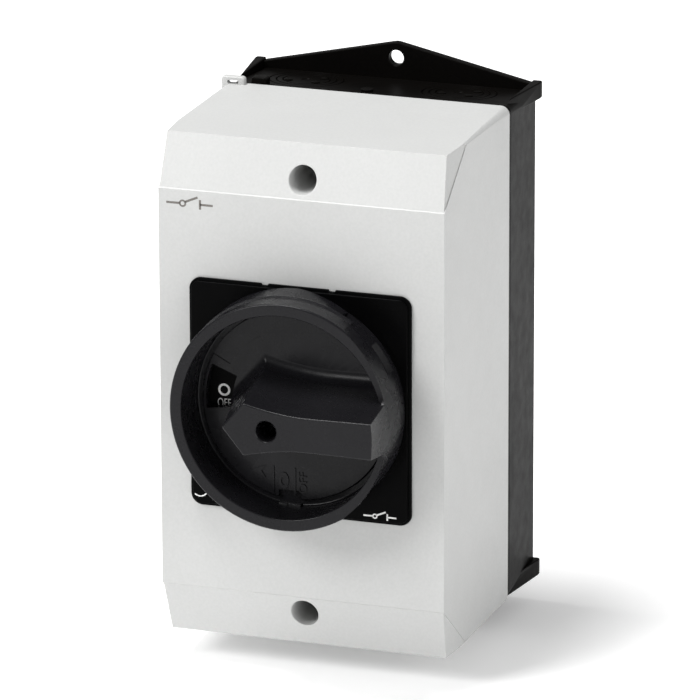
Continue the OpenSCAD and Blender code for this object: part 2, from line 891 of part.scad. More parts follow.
module rotary_handle() {
    color(charcoal) stand() difference() {
        union() {
            cup_form();
            grip_form();
            rod(neck_r, neck_z, handle_z + eps);
        }
        rod(3.5, handle_seat_z, grip_z + pass);
        rod(handle_screw_r + 0.1, neck_z - pass, handle_seat_z + pass);
        tube(neck_r + pass, neck_r - 1.6, neck_z + 1.6, neck_z + 3.4);
        box([-neck_r, -1.6, neck_z - pass], [neck_r, 1.6, neck_z + 1.1]);
        arc_slot(21.8, 31.2, 158, 187, handle_z - pass, grip_z);
        arc_slot(25.6, disc_r + 1, 118, 152, disc_z - 0.6, disc_z + pass);
        arc_slot(rim_r, flange_r + 1, 16, 76, handle_z - pass, undercut_z);
        arc_slot(rim_r, flange_r + 1, -62, -16, handle_z - pass, ring_z - 2.4);
        difference() {
            box([20, -30, handle_z - pass], [flange_r + 1, 30, grip_z + pass]);
            translate([-tail_off, 0, 0]) rod(tail_r, neck_z, grip_z + 1);
        }
        rotate([0, 0, 33])
            translate([ring_inner_r - 1.4, -5.4, floor_z + 1])
                cube([flange_r - ring_inner_r + 3, 10.8, undercut_z - floor_z - 1.6]);
        translate([slot_x, 0, floor_z]) {
            box([-slot_w / 2, -flange_r - pass, 0], [slot_w / 2, -ring_inner_r + 1, 2.4]);
            box([-slot_w / 2, -disc_r - pass, 0], [slot_w / 2, slide_tip + slide_travel + 0.5, 3]);
        }
    }
}

module padlock_slide() {
    slide_w = slot_w - 2 * run_gap - 0.16;
    z0 = floor_z + 0.2;
    color(black) stand() translate([slot_x, 0, 0]) difference() {
        box([-slide_w / 2, -flange_r + 0.9, z0], [slide_w / 2, slide_tip, z0 + 2]);
        translate([-slide_w, slide_tip - 3, z0 + 2])
            rotate([0, 90, 0])
                cylinder(r = 0.5, h = 2 * slide_w);
        box([-1, slide_tip - 1.6, z0 + 1.4], [1, slide_tip + pass, z0 + 3]);
    }
}

module drive_socket() {
    color(grey) stand() difference() {
        union() {
            rod(neck_r - 0.2, socket_z, neck_z);
            rod(bearing_flange_r - 0.6, collar_z - 3, collar_z);
            box([-neck_r + 0.6, -1.5, neck_z - eps], [neck_r - 0.6, 1.5, neck_z + 1]);
        }
        square_bar(shaft_w + 2 * run_gap, socket_z - pass, socket_hole_top);
        rod(handle_screw_r + fit_gap, socket_hole_top - pass, neck_z + 3);
        translate([0, 0, socket_z])
            linear_extrude(1.2, scale = 0.7, slices = 1, $fn = 0)
                square(shaft_w + 3, center = true);
    }
}

module handle_screw() {
    color(steel) stand()
        screw(handle_screw_r, 2.9, 2.4, handle_seat_z, handle_seat_z - socket_hole_top - 0.4);
}

module neck_seal() {
    color(rubber) stand() rotate_extrude() translate([neck_r - 0.8, neck_z + 2.5]) circle(0.74, $fn = 24);
}

base_shell();
cover_gasket();
thread_inserts();
mounting_foot();
foot_screws();
rear_chamber();
front_chamber();
fixed_contacts();
terminal_screws();
detent_housing();
detent_plungers();
detent_springs();
front_flange();
tie_screws();
earth_terminal();
neutral_terminal();
bar_screws();
left_springs();
right_springs();
cover_shell();
cover_screws();
screw_seals();
front_plate();
plate_screws();
plate_seal();
handle_bearing();
rotary_handle();
drive_socket();
handle_screw();
neck_seal();
padlock_slide();
cam_shaft();
rear_cam();
front_cam();
detent_wheel();
shaft_coupling();
coupling_screws();
extension_shaft();
left_carriers();
left_bridges();
right_carriers();
right_bridges();
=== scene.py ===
"""A rotary isolator switch: a two-part moulded enclosure with a lockable rotary handle.

Every form is drawn in millimetres, lying on its back as the CAD source draws it: X across,
Y up the wall and Z out from the wall. hand_over() turns it upright and into metres.
"""
import json
from math import asin, atan2, cos, degrees, hypot, pi, radians, sin, tan

import bmesh
import bpy
from mathutils import Euler, Matrix, Vector

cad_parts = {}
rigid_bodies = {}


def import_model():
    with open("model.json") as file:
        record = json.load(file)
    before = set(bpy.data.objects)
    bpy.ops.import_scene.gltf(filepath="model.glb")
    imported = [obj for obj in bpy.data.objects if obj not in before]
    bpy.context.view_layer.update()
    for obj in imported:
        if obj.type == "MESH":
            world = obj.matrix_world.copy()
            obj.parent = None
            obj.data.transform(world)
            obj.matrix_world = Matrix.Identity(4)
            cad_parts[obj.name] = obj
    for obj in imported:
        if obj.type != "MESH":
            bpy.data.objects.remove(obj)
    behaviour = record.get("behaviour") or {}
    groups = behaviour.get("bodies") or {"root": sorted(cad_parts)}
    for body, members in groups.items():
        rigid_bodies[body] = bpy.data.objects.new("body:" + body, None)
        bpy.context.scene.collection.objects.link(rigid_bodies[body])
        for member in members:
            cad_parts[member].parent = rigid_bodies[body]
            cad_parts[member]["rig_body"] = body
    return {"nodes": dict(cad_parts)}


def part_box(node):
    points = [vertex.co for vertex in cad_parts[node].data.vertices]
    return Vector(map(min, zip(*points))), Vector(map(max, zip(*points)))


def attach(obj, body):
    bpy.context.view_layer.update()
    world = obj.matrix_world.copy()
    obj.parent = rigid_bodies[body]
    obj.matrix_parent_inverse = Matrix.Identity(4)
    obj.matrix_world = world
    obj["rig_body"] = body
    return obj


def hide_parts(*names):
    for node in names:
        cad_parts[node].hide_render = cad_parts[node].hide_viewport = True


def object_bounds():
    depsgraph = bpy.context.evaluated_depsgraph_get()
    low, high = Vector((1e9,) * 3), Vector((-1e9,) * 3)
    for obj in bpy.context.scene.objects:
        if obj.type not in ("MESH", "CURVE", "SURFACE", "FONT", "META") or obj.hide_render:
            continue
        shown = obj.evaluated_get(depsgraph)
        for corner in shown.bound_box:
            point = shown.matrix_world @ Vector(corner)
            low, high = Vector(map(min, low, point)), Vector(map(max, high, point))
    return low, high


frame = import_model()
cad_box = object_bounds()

STAND = Matrix(((0.001, 0, 0, 0), (0, 0, -0.001, 0), (0, 0.001, 0, 0), (0, 0, 0, 1)))


def node_box(node):
    """A CAD node's lowest and highest corner, lying down and in millimetres."""
    low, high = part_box(node)
    return Vector((low.x, low.z, -high.y)) * 1000, Vector((high.x, high.z, -low.y)) * 1000


# ---- Sizes ----

cover_low, cover_high = node_box("cover_shell")
HALF_W, HALF_H = cover_high.x, -cover_low.y
REAR, FRONT = cover_low.z, cover_high.z
plate_low, plate_high = node_box("front_plate")
PLATE_W, PLATE_H, PLATE_Z = 2 * plate_high.x, 2 * plate_high.y, plate_high.z
handle_low, handle_high = node_box("rotary_handle")
NECK_Z, GRIP_Z = handle_low.z, handle_high.z
FLANGE_R = handle_high.y
insert_high = node_box("thread_inserts")[1]
POST_Y, POST_TOP = insert_high.y - 3.2, insert_high.z
bar_low, bar_high = node_box("earth_terminal")
foot_low, foot_high = node_box("mounting_foot")

COVER_WALL, BASE_WALL, CORNER_R = 2.8, 2.8, 3.0
SIDE_LEAN, END_LEAN = 0.7, 0.9
BAND_Z, SEAM_Y = FRONT - 5.6, HALF_H - 18.8
PANEL_IN_Z = FRONT - 3
SEAM_STEP = 0.3
ACCESS_R, ACCESS_FLOOR_Z = 4.7, 56
BASE_FRONT = REAR - 0.3
RIM_W, RIM_H = 2 * HALF_W - 1, 2 * HALF_H - 1
BACK_W, BACK_H = RIM_W - 2.2, RIM_H - 5
BASE_END_TILT = atan2((RIM_H - BACK_H) / 2, BASE_FRONT)
KNOCK_OUT_X = 27
LUG_Y, LUG_T, LUG_HOLE_R = HALF_H + 4.5, 3.2, 2.65
BEARING_HOLE_R, PLATE_SCREW_AT = 12.05, (30, 30)
LINE_W, INK_T = 0.75, 0.03
FLOOR_Z = PLATE_Z + 2
DISC_Z, DISC_R = FLOOR_Z + 1.4, 32.4
HANDLE_Z = PLATE_Z + 0.4
RING_Z, RING_R, RING_IN_R = HANDLE_Z + 17.5, 38.4, 34.6
RIM_R, UNDERCUT_Z = 36.9, RING_Z - 8.7
SCREW_SEAT_Z, DRIVE_HOLE_TOP = 112.2, 113


# ---- Forms ----

def adopt(mesh, name="form"):
    obj = bpy.data.objects.new(name, mesh)
    bpy.context.scene.collection.objects.link(obj)
    return obj


def drop(*objs):
    for obj in objs:
        bpy.data.objects.remove(obj)


def edit(obj, work):
    """Runs work on obj's mesh as a bmesh."""
    bm = bmesh.new()
    bm.from_mesh(obj.data)
    work(bm)
    bm.to_mesh(obj.data)
    bm.free()
    return obj


def merged(bm, distance=0.001):
    bmesh.ops.remove_doubles(bm, verts=bm.verts, dist=distance)
    bmesh.ops.dissolve_degenerate(bm, edges=bm.edges, dist=distance)
    bmesh.ops.recalc_face_normals(bm, faces=bm.faces)


def solid(points, faces):
    mesh = bpy.data.meshes.new("form")
    mesh.from_pydata(points, [], faces)
    return edit(adopt(mesh), merged)


def loft(sections):
    """A closed form through outlines that have the same number of points, each at its height."""
    n = len(sections[0][0])
    points = [(x, y, z) for outline, z in sections for x, y in outline]
    faces = [tuple(reversed(range(n))), tuple(range(len(points) - n, len(points)))]
    for k in range(0, len(points) - n, n):
        faces += [(k + i, k + (i + 1) % n, k + n + (i + 1) % n, k + n + i) for i in range(n)]
    return solid(points, faces)


def prism(outline, z0, z1):
    return loft([(outline, z0), (outline, z1)])


def turned(profile, steps=96, start=0.0, turn=360.0):
    """A closed profile of (radius, height) points turned about Z."""
    n, whole = len(profile), turn >= 360
    rows = steps if whole else steps + 1
    points, faces = [], []
    for k in range(rows):
        a = radians(start + turn * k / steps)
        points += [(r * cos(a), r * sin(a), z) for r, z in profile]
    for k in range(steps):
        a, b = k * n, (k + 1) % rows * n
        faces += [(a + i, b + i, b + (i + 1) % n, a + (i + 1) % n) for i in range(n)]
    if not whole:
        faces += [tuple(range(n)), tuple(reversed(range(len(points) - n, len(points))))]
    return solid(points, faces)


def rod(r, z0, z1, at=(0, 0), steps=64):
    return moved(turned([(0, z0), (r, z0), (r, z1), (0, z1)], steps), (*at, 0))


def ring_block(r0, r1, z0, z1, steps=96, start=0.0, turn=360.0):
    """A plain ring between two radii, or a part of it."""
    return turned([(r0, z0), (r1, z0), (r1, z1), (r0, z1)], steps, start, turn)


def hole(r, z0, z1, lip=0.3, at=(0, 0), steps=64):
    """A drill whose mouth at z1 is chamfered by lip."""
    profile = [(0, z0), (r, z0), (r, z1 - lip), (r + lip + 0.5, z1 + 0.5), (0, z1 + 0.5)]
    return moved(turned(profile, steps), (*at, 0))


def box(low, high):
    (x0, y0, z0), (x1, y1, z1) = low, high
    return prism([(x0, y0), (x1, y0), (x1, y1), (x0, y1)], z0, z1)


def rounded_rect(w, h, r, steps=8):
    points = []
    for quarter, (sx, sy) in enumerate([(1, 1), (-1, 1), (-1, -1), (1, -1)]):
        for k in range(steps + 1):
            a = radians(90 * (quarter + k / steps))
            points.append((sx * (w / 2 - r) + r * cos(a), sy * (h / 2 - r) + r * sin(a)))
    return points


def pillow(w, h, r, z0, z1, edge, steps=8):
    """A rounded slab with its front and back edges rounded by edge."""
    arc = [radians(90 * k / 3) for k in range(4)]
    rear = [(edge * (1 - sin(a)), z0 + edge * (1 - cos(a))) for a in arc]
    front = [(edge * (1 - cos(a)), z1 - edge * (1 - sin(a))) for a in arc]
    return loft([(rounded_rect(w - 2 * d, h - 2 * d, r - d, steps), z) for d, z in rear + front])


def rounded(points, radius, steps=4):
    """A closed polygon with its corners rounded, by one radius or by one for each corner."""
    out = []
    for i, corner in enumerate(points):
        r = radius[i] if isinstance(radius, (list, tuple)) else radius
        p, a, b = Vector(corner), Vector(points[i - 1]), Vector(points[(i + 1) % len(points)])
        u, v = a - p, b - p
        reach = 0.49 * min(u.length, v.length)
        u.normalize()
        v.normalize()
        half = u.angle(v) / 2
        if r <= 0 or half > 1.55:
            out += [tuple(p)] * (steps + 1 if r > 0 else 1)
            continue
        run = min(r / tan(half), reach)
        centre = p + (u + v).normalized() * (run / cos(half))
        first, last = p + u * run - centre, p + v * run - centre
        start = atan2(first.y, first.x)
        sweep = (atan2(last.y, last.x) - start + pi) % (2 * pi) - pi
        for k in range(steps + 1):
            a = start + sweep * k / steps
            out.append((centre.x + first.length * cos(a), centre.y + first.length * sin(a)))
    return out


def moved(obj, by=(0, 0, 0), turn=(0, 0, 0)):
    obj.data.transform(Matrix.Translation(by) @ Euler([radians(a) for a in turn]).to_matrix().to_4x4())
    return obj


def mirrored(obj, axis):
    scale = [1, 1, 1, 1]
    scale[axis] = -1
    obj.data.transform(Matrix.Diagonal(scale))
    obj.data.flip_normals()
    return obj


def copied(obj):
    return adopt(obj.data.copy())


def quarters(obj):
    """The form and its mirror images in all four corners."""
    right = mirrored(copied(obj), 0)
    return [obj, right, mirrored(copied(obj), 1), mirrored(copied(right), 1)]


def both_ends(obj):
    return [obj, mirrored(copied(obj), 1)]


def half_turned(obj):
    return [obj, moved(copied(obj), turn=(0, 0, 180))]


def baked(obj):
    """Puts what obj's modifiers make into its mesh."""
    evaluated = obj.evaluated_get(bpy.context.evaluated_depsgraph_get())
    mesh = bpy.data.meshes.new_from_object(evaluated)
    obj.modifiers.clear()
    obj.data = mesh
    return obj


def combined(body, operation, tools):
    for tool in tools:
        step = body.modifiers.new("combine", "BOOLEAN")
        step.operation, step.object, step.solver = operation, tool, "MANIFOLD"
    baked(body)
    drop(*tools)
    return body


def join(body, *tools):
    return combined(body, "UNION", tools)


def cut(body, *tools):
    return combined(body, "DIFFERENCE", tools)


def common(body, *tools):
    return combined(body, "INTERSECT", tools)


def together(objs):
    """Separate forms as one mesh, each still closed in itself."""
    first = objs[0]
    bm = bmesh.new()
    for obj in objs:
        bm.from_mesh(obj.data)
    bm.to_mesh(first.data)
    bm.free()
    drop(*objs[1:])
    return first


def sliced(obj, point, normal):
    """Cuts away what lies on the side that the normal points to."""
    def work(bm):
        geom = bm.verts[:] + bm.edges[:] + bm.faces[:]
        bmesh.ops.bisect_plane(bm, geom=geom, dist=1e-5, plane_co=point, plane_no=normal,
                               clear_outer=True)
        bmesh.ops.holes_fill(bm, edges=[e for e in bm.edges if e.is_boundary], sides=0)
        merged(bm)
    return edit(obj, work)


def flattened(obj, angle=0.3):
    """Merges the faces that lie in one plane."""
    def work(bm):
        bmesh.ops.remove_doubles(bm, verts=bm.verts, dist=0.002)
        bmesh.ops.dissolve_limit(bm, angle_limit=radians(angle), verts=bm.verts, edges=bm.edges)
    return edit(obj, work)


def edge_rounded(obj, width, segments=3, angle=28, share=None, clamp=True):
    """Rounds the sharp edges by width, or by the share of it that share(middle of edge) says."""
    mesh = obj.data
    weights = [0.0] * len(mesh.edges)
    bm = bmesh.new()
    bm.from_mesh(mesh)
    for i, edge in enumerate(bm.edges):
        if edge.is_manifold and edge.calc_face_angle(0) > radians(angle):
            middle = (edge.verts[0].co + edge.verts[1].co) / 2
            weights[i] = 1.0 if share is None else share(middle)
    bm.free()
    attribute = mesh.attributes.get("bevel_weight_edge")
    attribute = attribute or mesh.attributes.new("bevel_weight_edge", "FLOAT", "EDGE")
    attribute.data.foreach_set("value", weights)
    step = obj.modifiers.new("edges", "BEVEL")
    step.limit_method, step.width, step.segments = "WEIGHT", width, segments
    step.use_clamp_overlap = clamp
    baked(obj)
    obj.data.attributes.remove(obj.data.attributes["bevel_weight_edge"])
    return obj


# ---- Materials ----

def socket_of(node, name, value):
    node.inputs[name].default_value = value


class Finish:
    """A material's node tree, with helpers that add and link its nodes."""

    def __init__(self, name):
        self.material = bpy.data.materials.new(name)
        self.material.use_nodes = True
        self.tree = self.material.node_tree
        self.shader = self.tree.nodes["Principled BSDF"]
        self.place = self.tree.nodes.new("ShaderNodeTexCoord").outputs["Object"]

    def node(self, kind, links=None, **values):
        made = self.tree.nodes.new("ShaderNode" + kind)
        for name, value in values.items():
            setattr(made, name, value)
        for name, source in (links or {}).items():
            if isinstance(source, bpy.types.NodeSocket):
                self.tree.links.new(source, made.inputs[name])
            else:
                made.inputs[name].default_value = source
        return made

    def noise(self, size, detail=2.0, roughness=0.5, stretch=None):
        """Noise from 0 to 1 whose patches are about size metres across."""
        place = self.place
        if stretch:
            place = self.node("Mapping", {"Vector": place, "Scale": stretch}).outputs[0]
        return self.node("TexNoise", {"Vector": place, "Scale": 1 / size, "Detail": detail,
                                      "Roughness": roughness}).outputs[0]

    def between(self, value, low, high, start=0.3, end=0.7):
        return self.node("MapRange", {"Value": value, "From Min": start, "From Max": end,
                                      "To Min": low, "To Max": high}).outputs[0]

    def blend(self, share, first, second):
        mix = self.node("Mix", data_type="RGBA")
        for i, source in ((0, share), (6, first), (7, second)):
            if isinstance(source, bpy.types.NodeSocket):
                self.tree.links.new(source, mix.inputs[i])
            else:
                mix.inputs[i].default_value = source if i == 0 else (*source, 1)
        return mix.outputs[2]

    def bump(self, height, depth, under=None):
        links = {"Height": height, "Distance": depth, "Strength": 1.0}
        if under:
            links["Normal"] = under
        return self.node("Bump", links).outputs[0]

    def wire(self, **sources):
        names = {"colour": "Base Color", "roughness": "Roughness", "normal": "Normal",
                 "metallic": "Metallic"}
        for name, source in sources.items():
            self.tree.links.new(source, self.shader.inputs[names[name]])
        return self.material


def moulded(name, colour, other, roughness, specular, grain=0.0003, depth=0.000006, spread=0.05):
    """Moulded plastic: an eroded grain, flow patches in its colour and an uneven gloss."""
    f = Finish(name)
    socket_of(f.shader, "Specular IOR Level", specular)
    patches = f.between(f.noise(0.035, 3), 0, 1, 0.35, 0.65)
    specks = f.between(f.noise(0.0009, 2), 0, 1, 0.3, 0.7)
    toned = f.blend(patches, colour, other)
    shade = f.blend(0.5, toned, f.blend(specks, tuple(c * 0.94 for c in colour), other))
    gloss = f.between(f.noise(0.006, 4, 0.6), roughness - spread, roughness + spread)
    texture = f.bump(f.noise(grain, 2, 0.6), depth, f.bump(f.noise(0.012, 2), depth * 6))
    return f.wire(colour=shade, roughness=gloss, normal=texture)


def metal(name, colour, tarnish, roughness, brushed=None):
    """Bare or plated metal, with tarnish in patches and fine tool marks."""
    f = Finish(name)
    socket_of(f.shader, "Metallic", 1.0)
    patches = f.between(f.noise(0.004, 5, 0.65), 0, 1, 0.4, 0.7)
    gloss = f.between(f.noise(0.0012, 4, 0.6), roughness - 0.08, roughness + 0.1)
    marks = f.noise(0.0002, 3, 0.6, brushed)
    return f.wire(colour=f.blend(patches, colour, tarnish), roughness=gloss,
                  normal=f.bump(marks, 0.000003))


def rubbery(name, colour, other):
    f = Finish(name)
    socket_of(f.shader, "Specular IOR Level", 0.3)
    bloom = f.between(f.noise(0.008, 4, 0.6), 0, 1, 0.4, 0.75)
    return f.wire(colour=f.blend(bloom, colour, other),
                  roughness=f.between(f.noise(0.003, 3), 0.6, 0.8),
                  normal=f.bump(f.noise(0.0002, 2), 0.000008))


def printed(name, colour, other):
    """Pad-printed ink, a little uneven in its cover and gloss."""
    f = Finish(name)
    socket_of(f.shader, "Specular IOR Level", 0.3)
    cover = f.between(f.noise(0.0005, 3, 0.6), 0, 1, 0.35, 0.6)
    return f.wire(colour=f.blend(cover, other, colour),
                  roughness=f.between(f.noise(0.002, 2), 0.4, 0.55),
                  normal=f.bump(f.noise(0.00025, 2), 0.000004))


light_grey = moulded("light grey cover plastic", (0.455, 0.458, 0.452), (0.475, 0.478, 0.472),
                     0.46, 0.3, depth=0.000005)
black_base = moulded("black base plastic", (0.0020, 0.0018, 0.0016), (0.0032, 0.0028, 0.0025),
                     0.36, 0.02, depth=0.000007)
black_plate = moulded("black plate plastic", (0.0008, 0.0008, 0.0009), (0.0014, 0.0014, 0.0015),
                      0.34, 0.025, depth=0.000004)
charcoal = moulded("charcoal handle plastic", (0.0058, 0.0056, 0.0066), (0.0080, 0.0078, 0.0090),
                   0.27, 0.15, depth=0.000002)
block_black = moulded("black switch plastic", (0.014, 0.014, 0.015), (0.02, 0.02, 0.021),
                      0.36, 0.4)
ivory = moulded("ivory chamber plastic", (0.60, 0.56, 0.47), (0.66, 0.62, 0.53), 0.42, 0.45,
                spread=0.08)
inner_grey = moulded("grey inner plastic", (0.20, 0.205, 0.21), (0.235, 0.24, 0.245), 0.4, 0.45)
steel = metal("zinc-plated steel", (0.62, 0.63, 0.64), (0.46, 0.47, 0.5), 0.3)
spring_wire = metal("spring wire", (0.55, 0.55, 0.56), (0.36, 0.36, 0.38), 0.28)
brass = metal("turned brass", (0.70, 0.50, 0.21), (0.52, 0.35, 0.13), 0.27)
copper = metal("copper strip", (0.78, 0.42, 0.28), (0.55, 0.27, 0.17), 0.3,
               brushed=(1, 1, 8))
rubber = rubbery("black rubber", (0.012, 0.012, 0.012), (0.028, 0.028, 0.029))
white_ink = printed("white ink", (0.80, 0.80, 0.79), (0.55, 0.55, 0.55))
grey_ink = printed("grey ink", (0.125, 0.115, 0.105), (0.17, 0.16, 0.15))


# ---- Handing a finished form over to its body ----

def hand_over(obj, name, material, body, slot=None, stands_for=(), smooth=32):
    obj.name = obj.data.name = name
    obj.data.materials.clear()
    obj.data.materials.append(material)
    obj.data.transform(STAND)
    for face in obj.data.polygons:
        face.material_index = 0
    obj.data.shade_smooth()
    obj.data.set_sharp_from_angle(angle=radians(smooth))
    step = obj.modifiers.new("normals", "WEIGHTED_NORMAL")
    step.keep_sharp = True
    baked(obj)
    obj.data.name = name
    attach(obj, body)
    if stands_for:
        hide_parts(*stands_for)
    return obj


def softened(node, width, name, material, slot, angle=30):
    """A copy of a CAD node with its faces merged and its edges rounded, in its place."""
    source = frame["nodes"][node]
    form = adopt(source.data.copy())
    form.data.transform(STAND.inverted())
    edit(form, merged)
    flattened(form, 0.5)
    edge_rounded(form, width, 2, angle)
    return hand_over(form, name, material, source["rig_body"], slot, [node])


# ---- Geometry Nodes trees ----

def tree_of(name, *inputs):
    """A new node tree, its input and output nodes, and its inputs' identifiers by name."""
    tree = bpy.data.node_groups.new(name, "GeometryNodeTree")
    face = tree.interface
    face.new_socket(name="Geometry", in_out="INPUT", socket_type="NodeSocketGeometry")
    names = {label: face.new_socket(name=label, in_out="INPUT", socket_type="NodeSocket" + kind)
             .identifier for label, kind in inputs}
    face.new_socket(name="Geometry", in_out="OUTPUT", socket_type="NodeSocketGeometry")
    return tree, tree.nodes.new("NodeGroupInput"), tree.nodes.new("NodeGroupOutput"), names


def chain(tree, kind, **sources):
    """Adds a node and links what is given by its sockets' names, spaces written as _."""
    made = tree.nodes.new("GeometryNode" + kind)
    for label, source in sources.items():
        wanted = label.replace("_", " ")
        into = next(s for s in made.inputs if s.name == wanted and s.enabled)
        if isinstance(source, bpy.types.NodeSocket):
            tree.links.new(source, into)
        else:
            into.default_value = source
    return made


def made_by(tree, names, base, **values):
    """What a tree makes of base, as a plain mesh."""
    step = base.modifiers.new(tree.name, "NODES")
    step.node_group = tree
    for label, value in values.items():
        step[names[label.replace("_", " ")]] = value
    return baked(base)


def copies_tree():
    """Puts a copy of an item on each point, turned as the point's attribute says."""
    tree, start, end, names = tree_of("placed copies", ("Item", "Object"), ("Finish", "Material"),
                                      ("Size", "Float"))
    item = chain(tree, "ObjectInfo", Object=start.outputs["Item"], As_Instance=True)
    turn = tree.nodes.new("GeometryNodeInputNamedAttribute")
    turn.data_type = "FLOAT_VECTOR"
    turn.inputs["Name"].default_value = "turn"
    put = chain(tree, "InstanceOnPoints", Points=start.outputs["Geometry"],
                Instance=item.outputs["Geometry"], Rotation=turn.outputs["Attribute"],
                Scale=start.outputs["Size"])
    real = chain(tree, "RealizeInstances", Geometry=put.outputs["Instances"])
    done = chain(tree, "SetMaterial", Geometry=real.outputs["Geometry"],
                 Material=start.outputs["Finish"])
    tree.links.new(done.outputs["Geometry"], end.inputs["Geometry"])
    return tree, names


def coil_tree():
    """A round wire wound along Z."""
    tree, start, end, names = tree_of("wound wire", ("Radius", "Float"), ("Wire Radius", "Float"),
                                      ("Length", "Float"), ("Turns", "Float"),
                                      ("Steps", "Int"), ("Finish", "Material"))
    spiral = chain(tree, "CurveSpiral", Resolution=start.outputs["Steps"],
                   Rotations=start.outputs["Turns"], Start_Radius=start.outputs["Radius"],
                   End_Radius=start.outputs["Radius"], Height=start.outputs["Length"])
    ring = chain(tree, "CurvePrimitiveCircle", Resolution=10, Radius=start.outputs["Wire Radius"])
    tube = chain(tree, "CurveToMesh", Curve=spiral.outputs["Curve"],
                 Profile_Curve=ring.outputs["Curve"], Fill_Caps=True)
    done = chain(tree, "SetMaterial", Geometry=tube.outputs["Mesh"],
                 Material=start.outputs["Finish"])
    tree.links.new(done.outputs["Geometry"], end.inputs["Geometry"])
    return tree, names


COPIES, COPY_INPUTS = copies_tree()
COIL, COIL_INPUTS = coil_tree()


def copies(item, spots, material):
    """The item at each (place, turn in degrees), as one mesh; the item itself goes."""
    points = bpy.data.meshes.new("points")
    points.from_pydata([place for place, _ in spots], [], [])
    turns = points.attributes.new("turn", "FLOAT_VECTOR", "POINT")
    turns.data.foreach_set("vector", [radians(a) for _, turn in spots for a in turn])
    made = made_by(COPIES, COPY_INPUTS, adopt(points), Item=item, Finish=material, Size=1.0)
    drop(item)
    return made


def coil(r, wire, length, turns, material, steps=20):
    blank = adopt(bpy.data.meshes.new("coil"))
    return made_by(COIL, COIL_INPUTS, blank, Radius=r, Wire_Radius=wire, Length=length,
                   Turns=turns, Steps=steps, Finish=material)


# ---- Cover ----

def cover_form(inset, rear, front, seam_drop=0.0, ends=True):
    """The cover's outer form, or one that lies inside it by inset."""
    form = prism(rounded_rect(2 * (HALF_W - inset), 2 * (HALF_H - inset),
                              max(CORNER_R - inset, 0.6), 12), rear, front)
    depth = FRONT - REAR
    for side in (1, -1):
        sliced(form, (side * (HALF_W - inset), 0, REAR), Vector((side * depth, 0, SIDE_LEAN)))
        sliced(form, (0, side * (HALF_H - inset), REAR),
               Vector((0, side * (BAND_Z - REAR), END_LEAN)))
        if ends:
            fall, run = FRONT - BAND_Z, HALF_H - END_LEAN - SEAM_Y
            normal = Vector((0, side * fall, run)).normalized()
            sliced(form, Vector((0, side * SEAM_Y, FRONT)) - normal * (inset + seam_drop), normal)
    return form


def seam_points():
    """The seam's corner on the front, its end on the end wall and the band's tip."""
    corner = Vector((HALF_W - SIDE_LEAN, SEAM_Y, FRONT))
    back = Vector((HALF_W - 0.35, HALF_H, REAR + 0.64 * (FRONT - REAR)))
    tip = Vector((HALF_W - 1.6, HALF_H - END_LEAN, BAND_Z))
    return corner, back, tip


def cover_outside():
    corner, back, tip = seam_points()
    middle = cover_form(0, REAR, FRONT, ends=False)
    along = back - corner
    for side in (1, -1):
        sliced(middle, (0, side * corner.y, corner.z), Vector((0, -side * along.z, along.y)))
    ends = cover_form(0, REAR, FRONT, seam_drop=SEAM_STEP)
    facet = (tip - corner).cross(back - corner).normalized()
    if facet.x < 0:
        facet.negate()
    for sx in (1, -1):
        for sy in (1, -1):
            turned_in = Vector((sx * facet.x, sy * facet.y, facet.z))
            point = Vector((sx * corner.x, sy * corner.y, corner.z)) - turned_in * SEAM_STEP
            sliced(ends, point, turned_in)
    body = flattened(join(middle, ends), 0.15)

    def share(p):
        near = abs(abs(p.y) - corner.y - (corner.z - p.z) * along.y / -along.z)
        on_seam = near < 0.5 and p.z > back.z - 1
        return 0.14 if on_seam else (0.35 if p.z < REAR + 0.1 else 1.0)

    return edge_rounded(body, 0.75, 3, 30, share)


def build_cover():
    shell = cover_outside()
    cut(shell, cover_form(COVER_WALL, REAR - 1, PANEL_IN_Z))
    towers = common(together(both_ends(rod(7.2, 46, FRONT, (0, POST_Y), 72))),
                    cover_form(COVER_WALL / 2, REAR, FRONT))
    ribs = common(together(quarters(box((3.6, POST_Y, 47), (4.9, HALF_H, PANEL_IN_Z)))),
                  cover_form(COVER_WALL / 2, REAR, FRONT))
    join(shell, towers, ribs)
    eye = pillow(8.2, 6.4, 1.2, REAR, REAR + 2.6, 0.45)
    cut(eye, moved(prism(rounded_rect(4, 1.3, 0.5, 4), -1, 4), (0, 1.3, REAR)))
    edge_rounded(eye, 0.12, 2, 50)
    join(shell, moved(eye, (-HALF_W + 3.7, HALF_H - 0.6, 0)))
    drills = [rod(ACCESS_R, ACCESS_FLOOR_Z, FRONT + 1, (0, POST_Y), 72),
              rod(2.3, 45, ACCESS_FLOOR_Z + 1, (0, POST_Y), 32)]
    cut(shell, *[o for drill in drills for o in both_ends(drill)])

    def share(p):
        at_mouth = abs(hypot(p.x, abs(p.y) - POST_Y) - ACCESS_R) < 0.03 and p.z > BAND_Z
        return 1.0 if at_mouth else 0.0

    edge_rounded(shell, 0.4, 3, 30, share, clamp=False)
    boss_hole = rod(3.05, PANEL_IN_Z - 1, FRONT + 1, PLATE_SCREW_AT, 48)
    cut(shell, rod(BEARING_HOLE_R, PANEL_IN_Z - 1, FRONT + 1), *quarters(boss_hole))
    hand_over(shell, "cover_moulding", light_grey, "cover", "cover_plastic", ["cover_shell"])


# ---- Base ----

def end_wall_y(z):
    return (BACK_H + (RIM_H - BACK_H) * z / BASE_FRONT) / 2


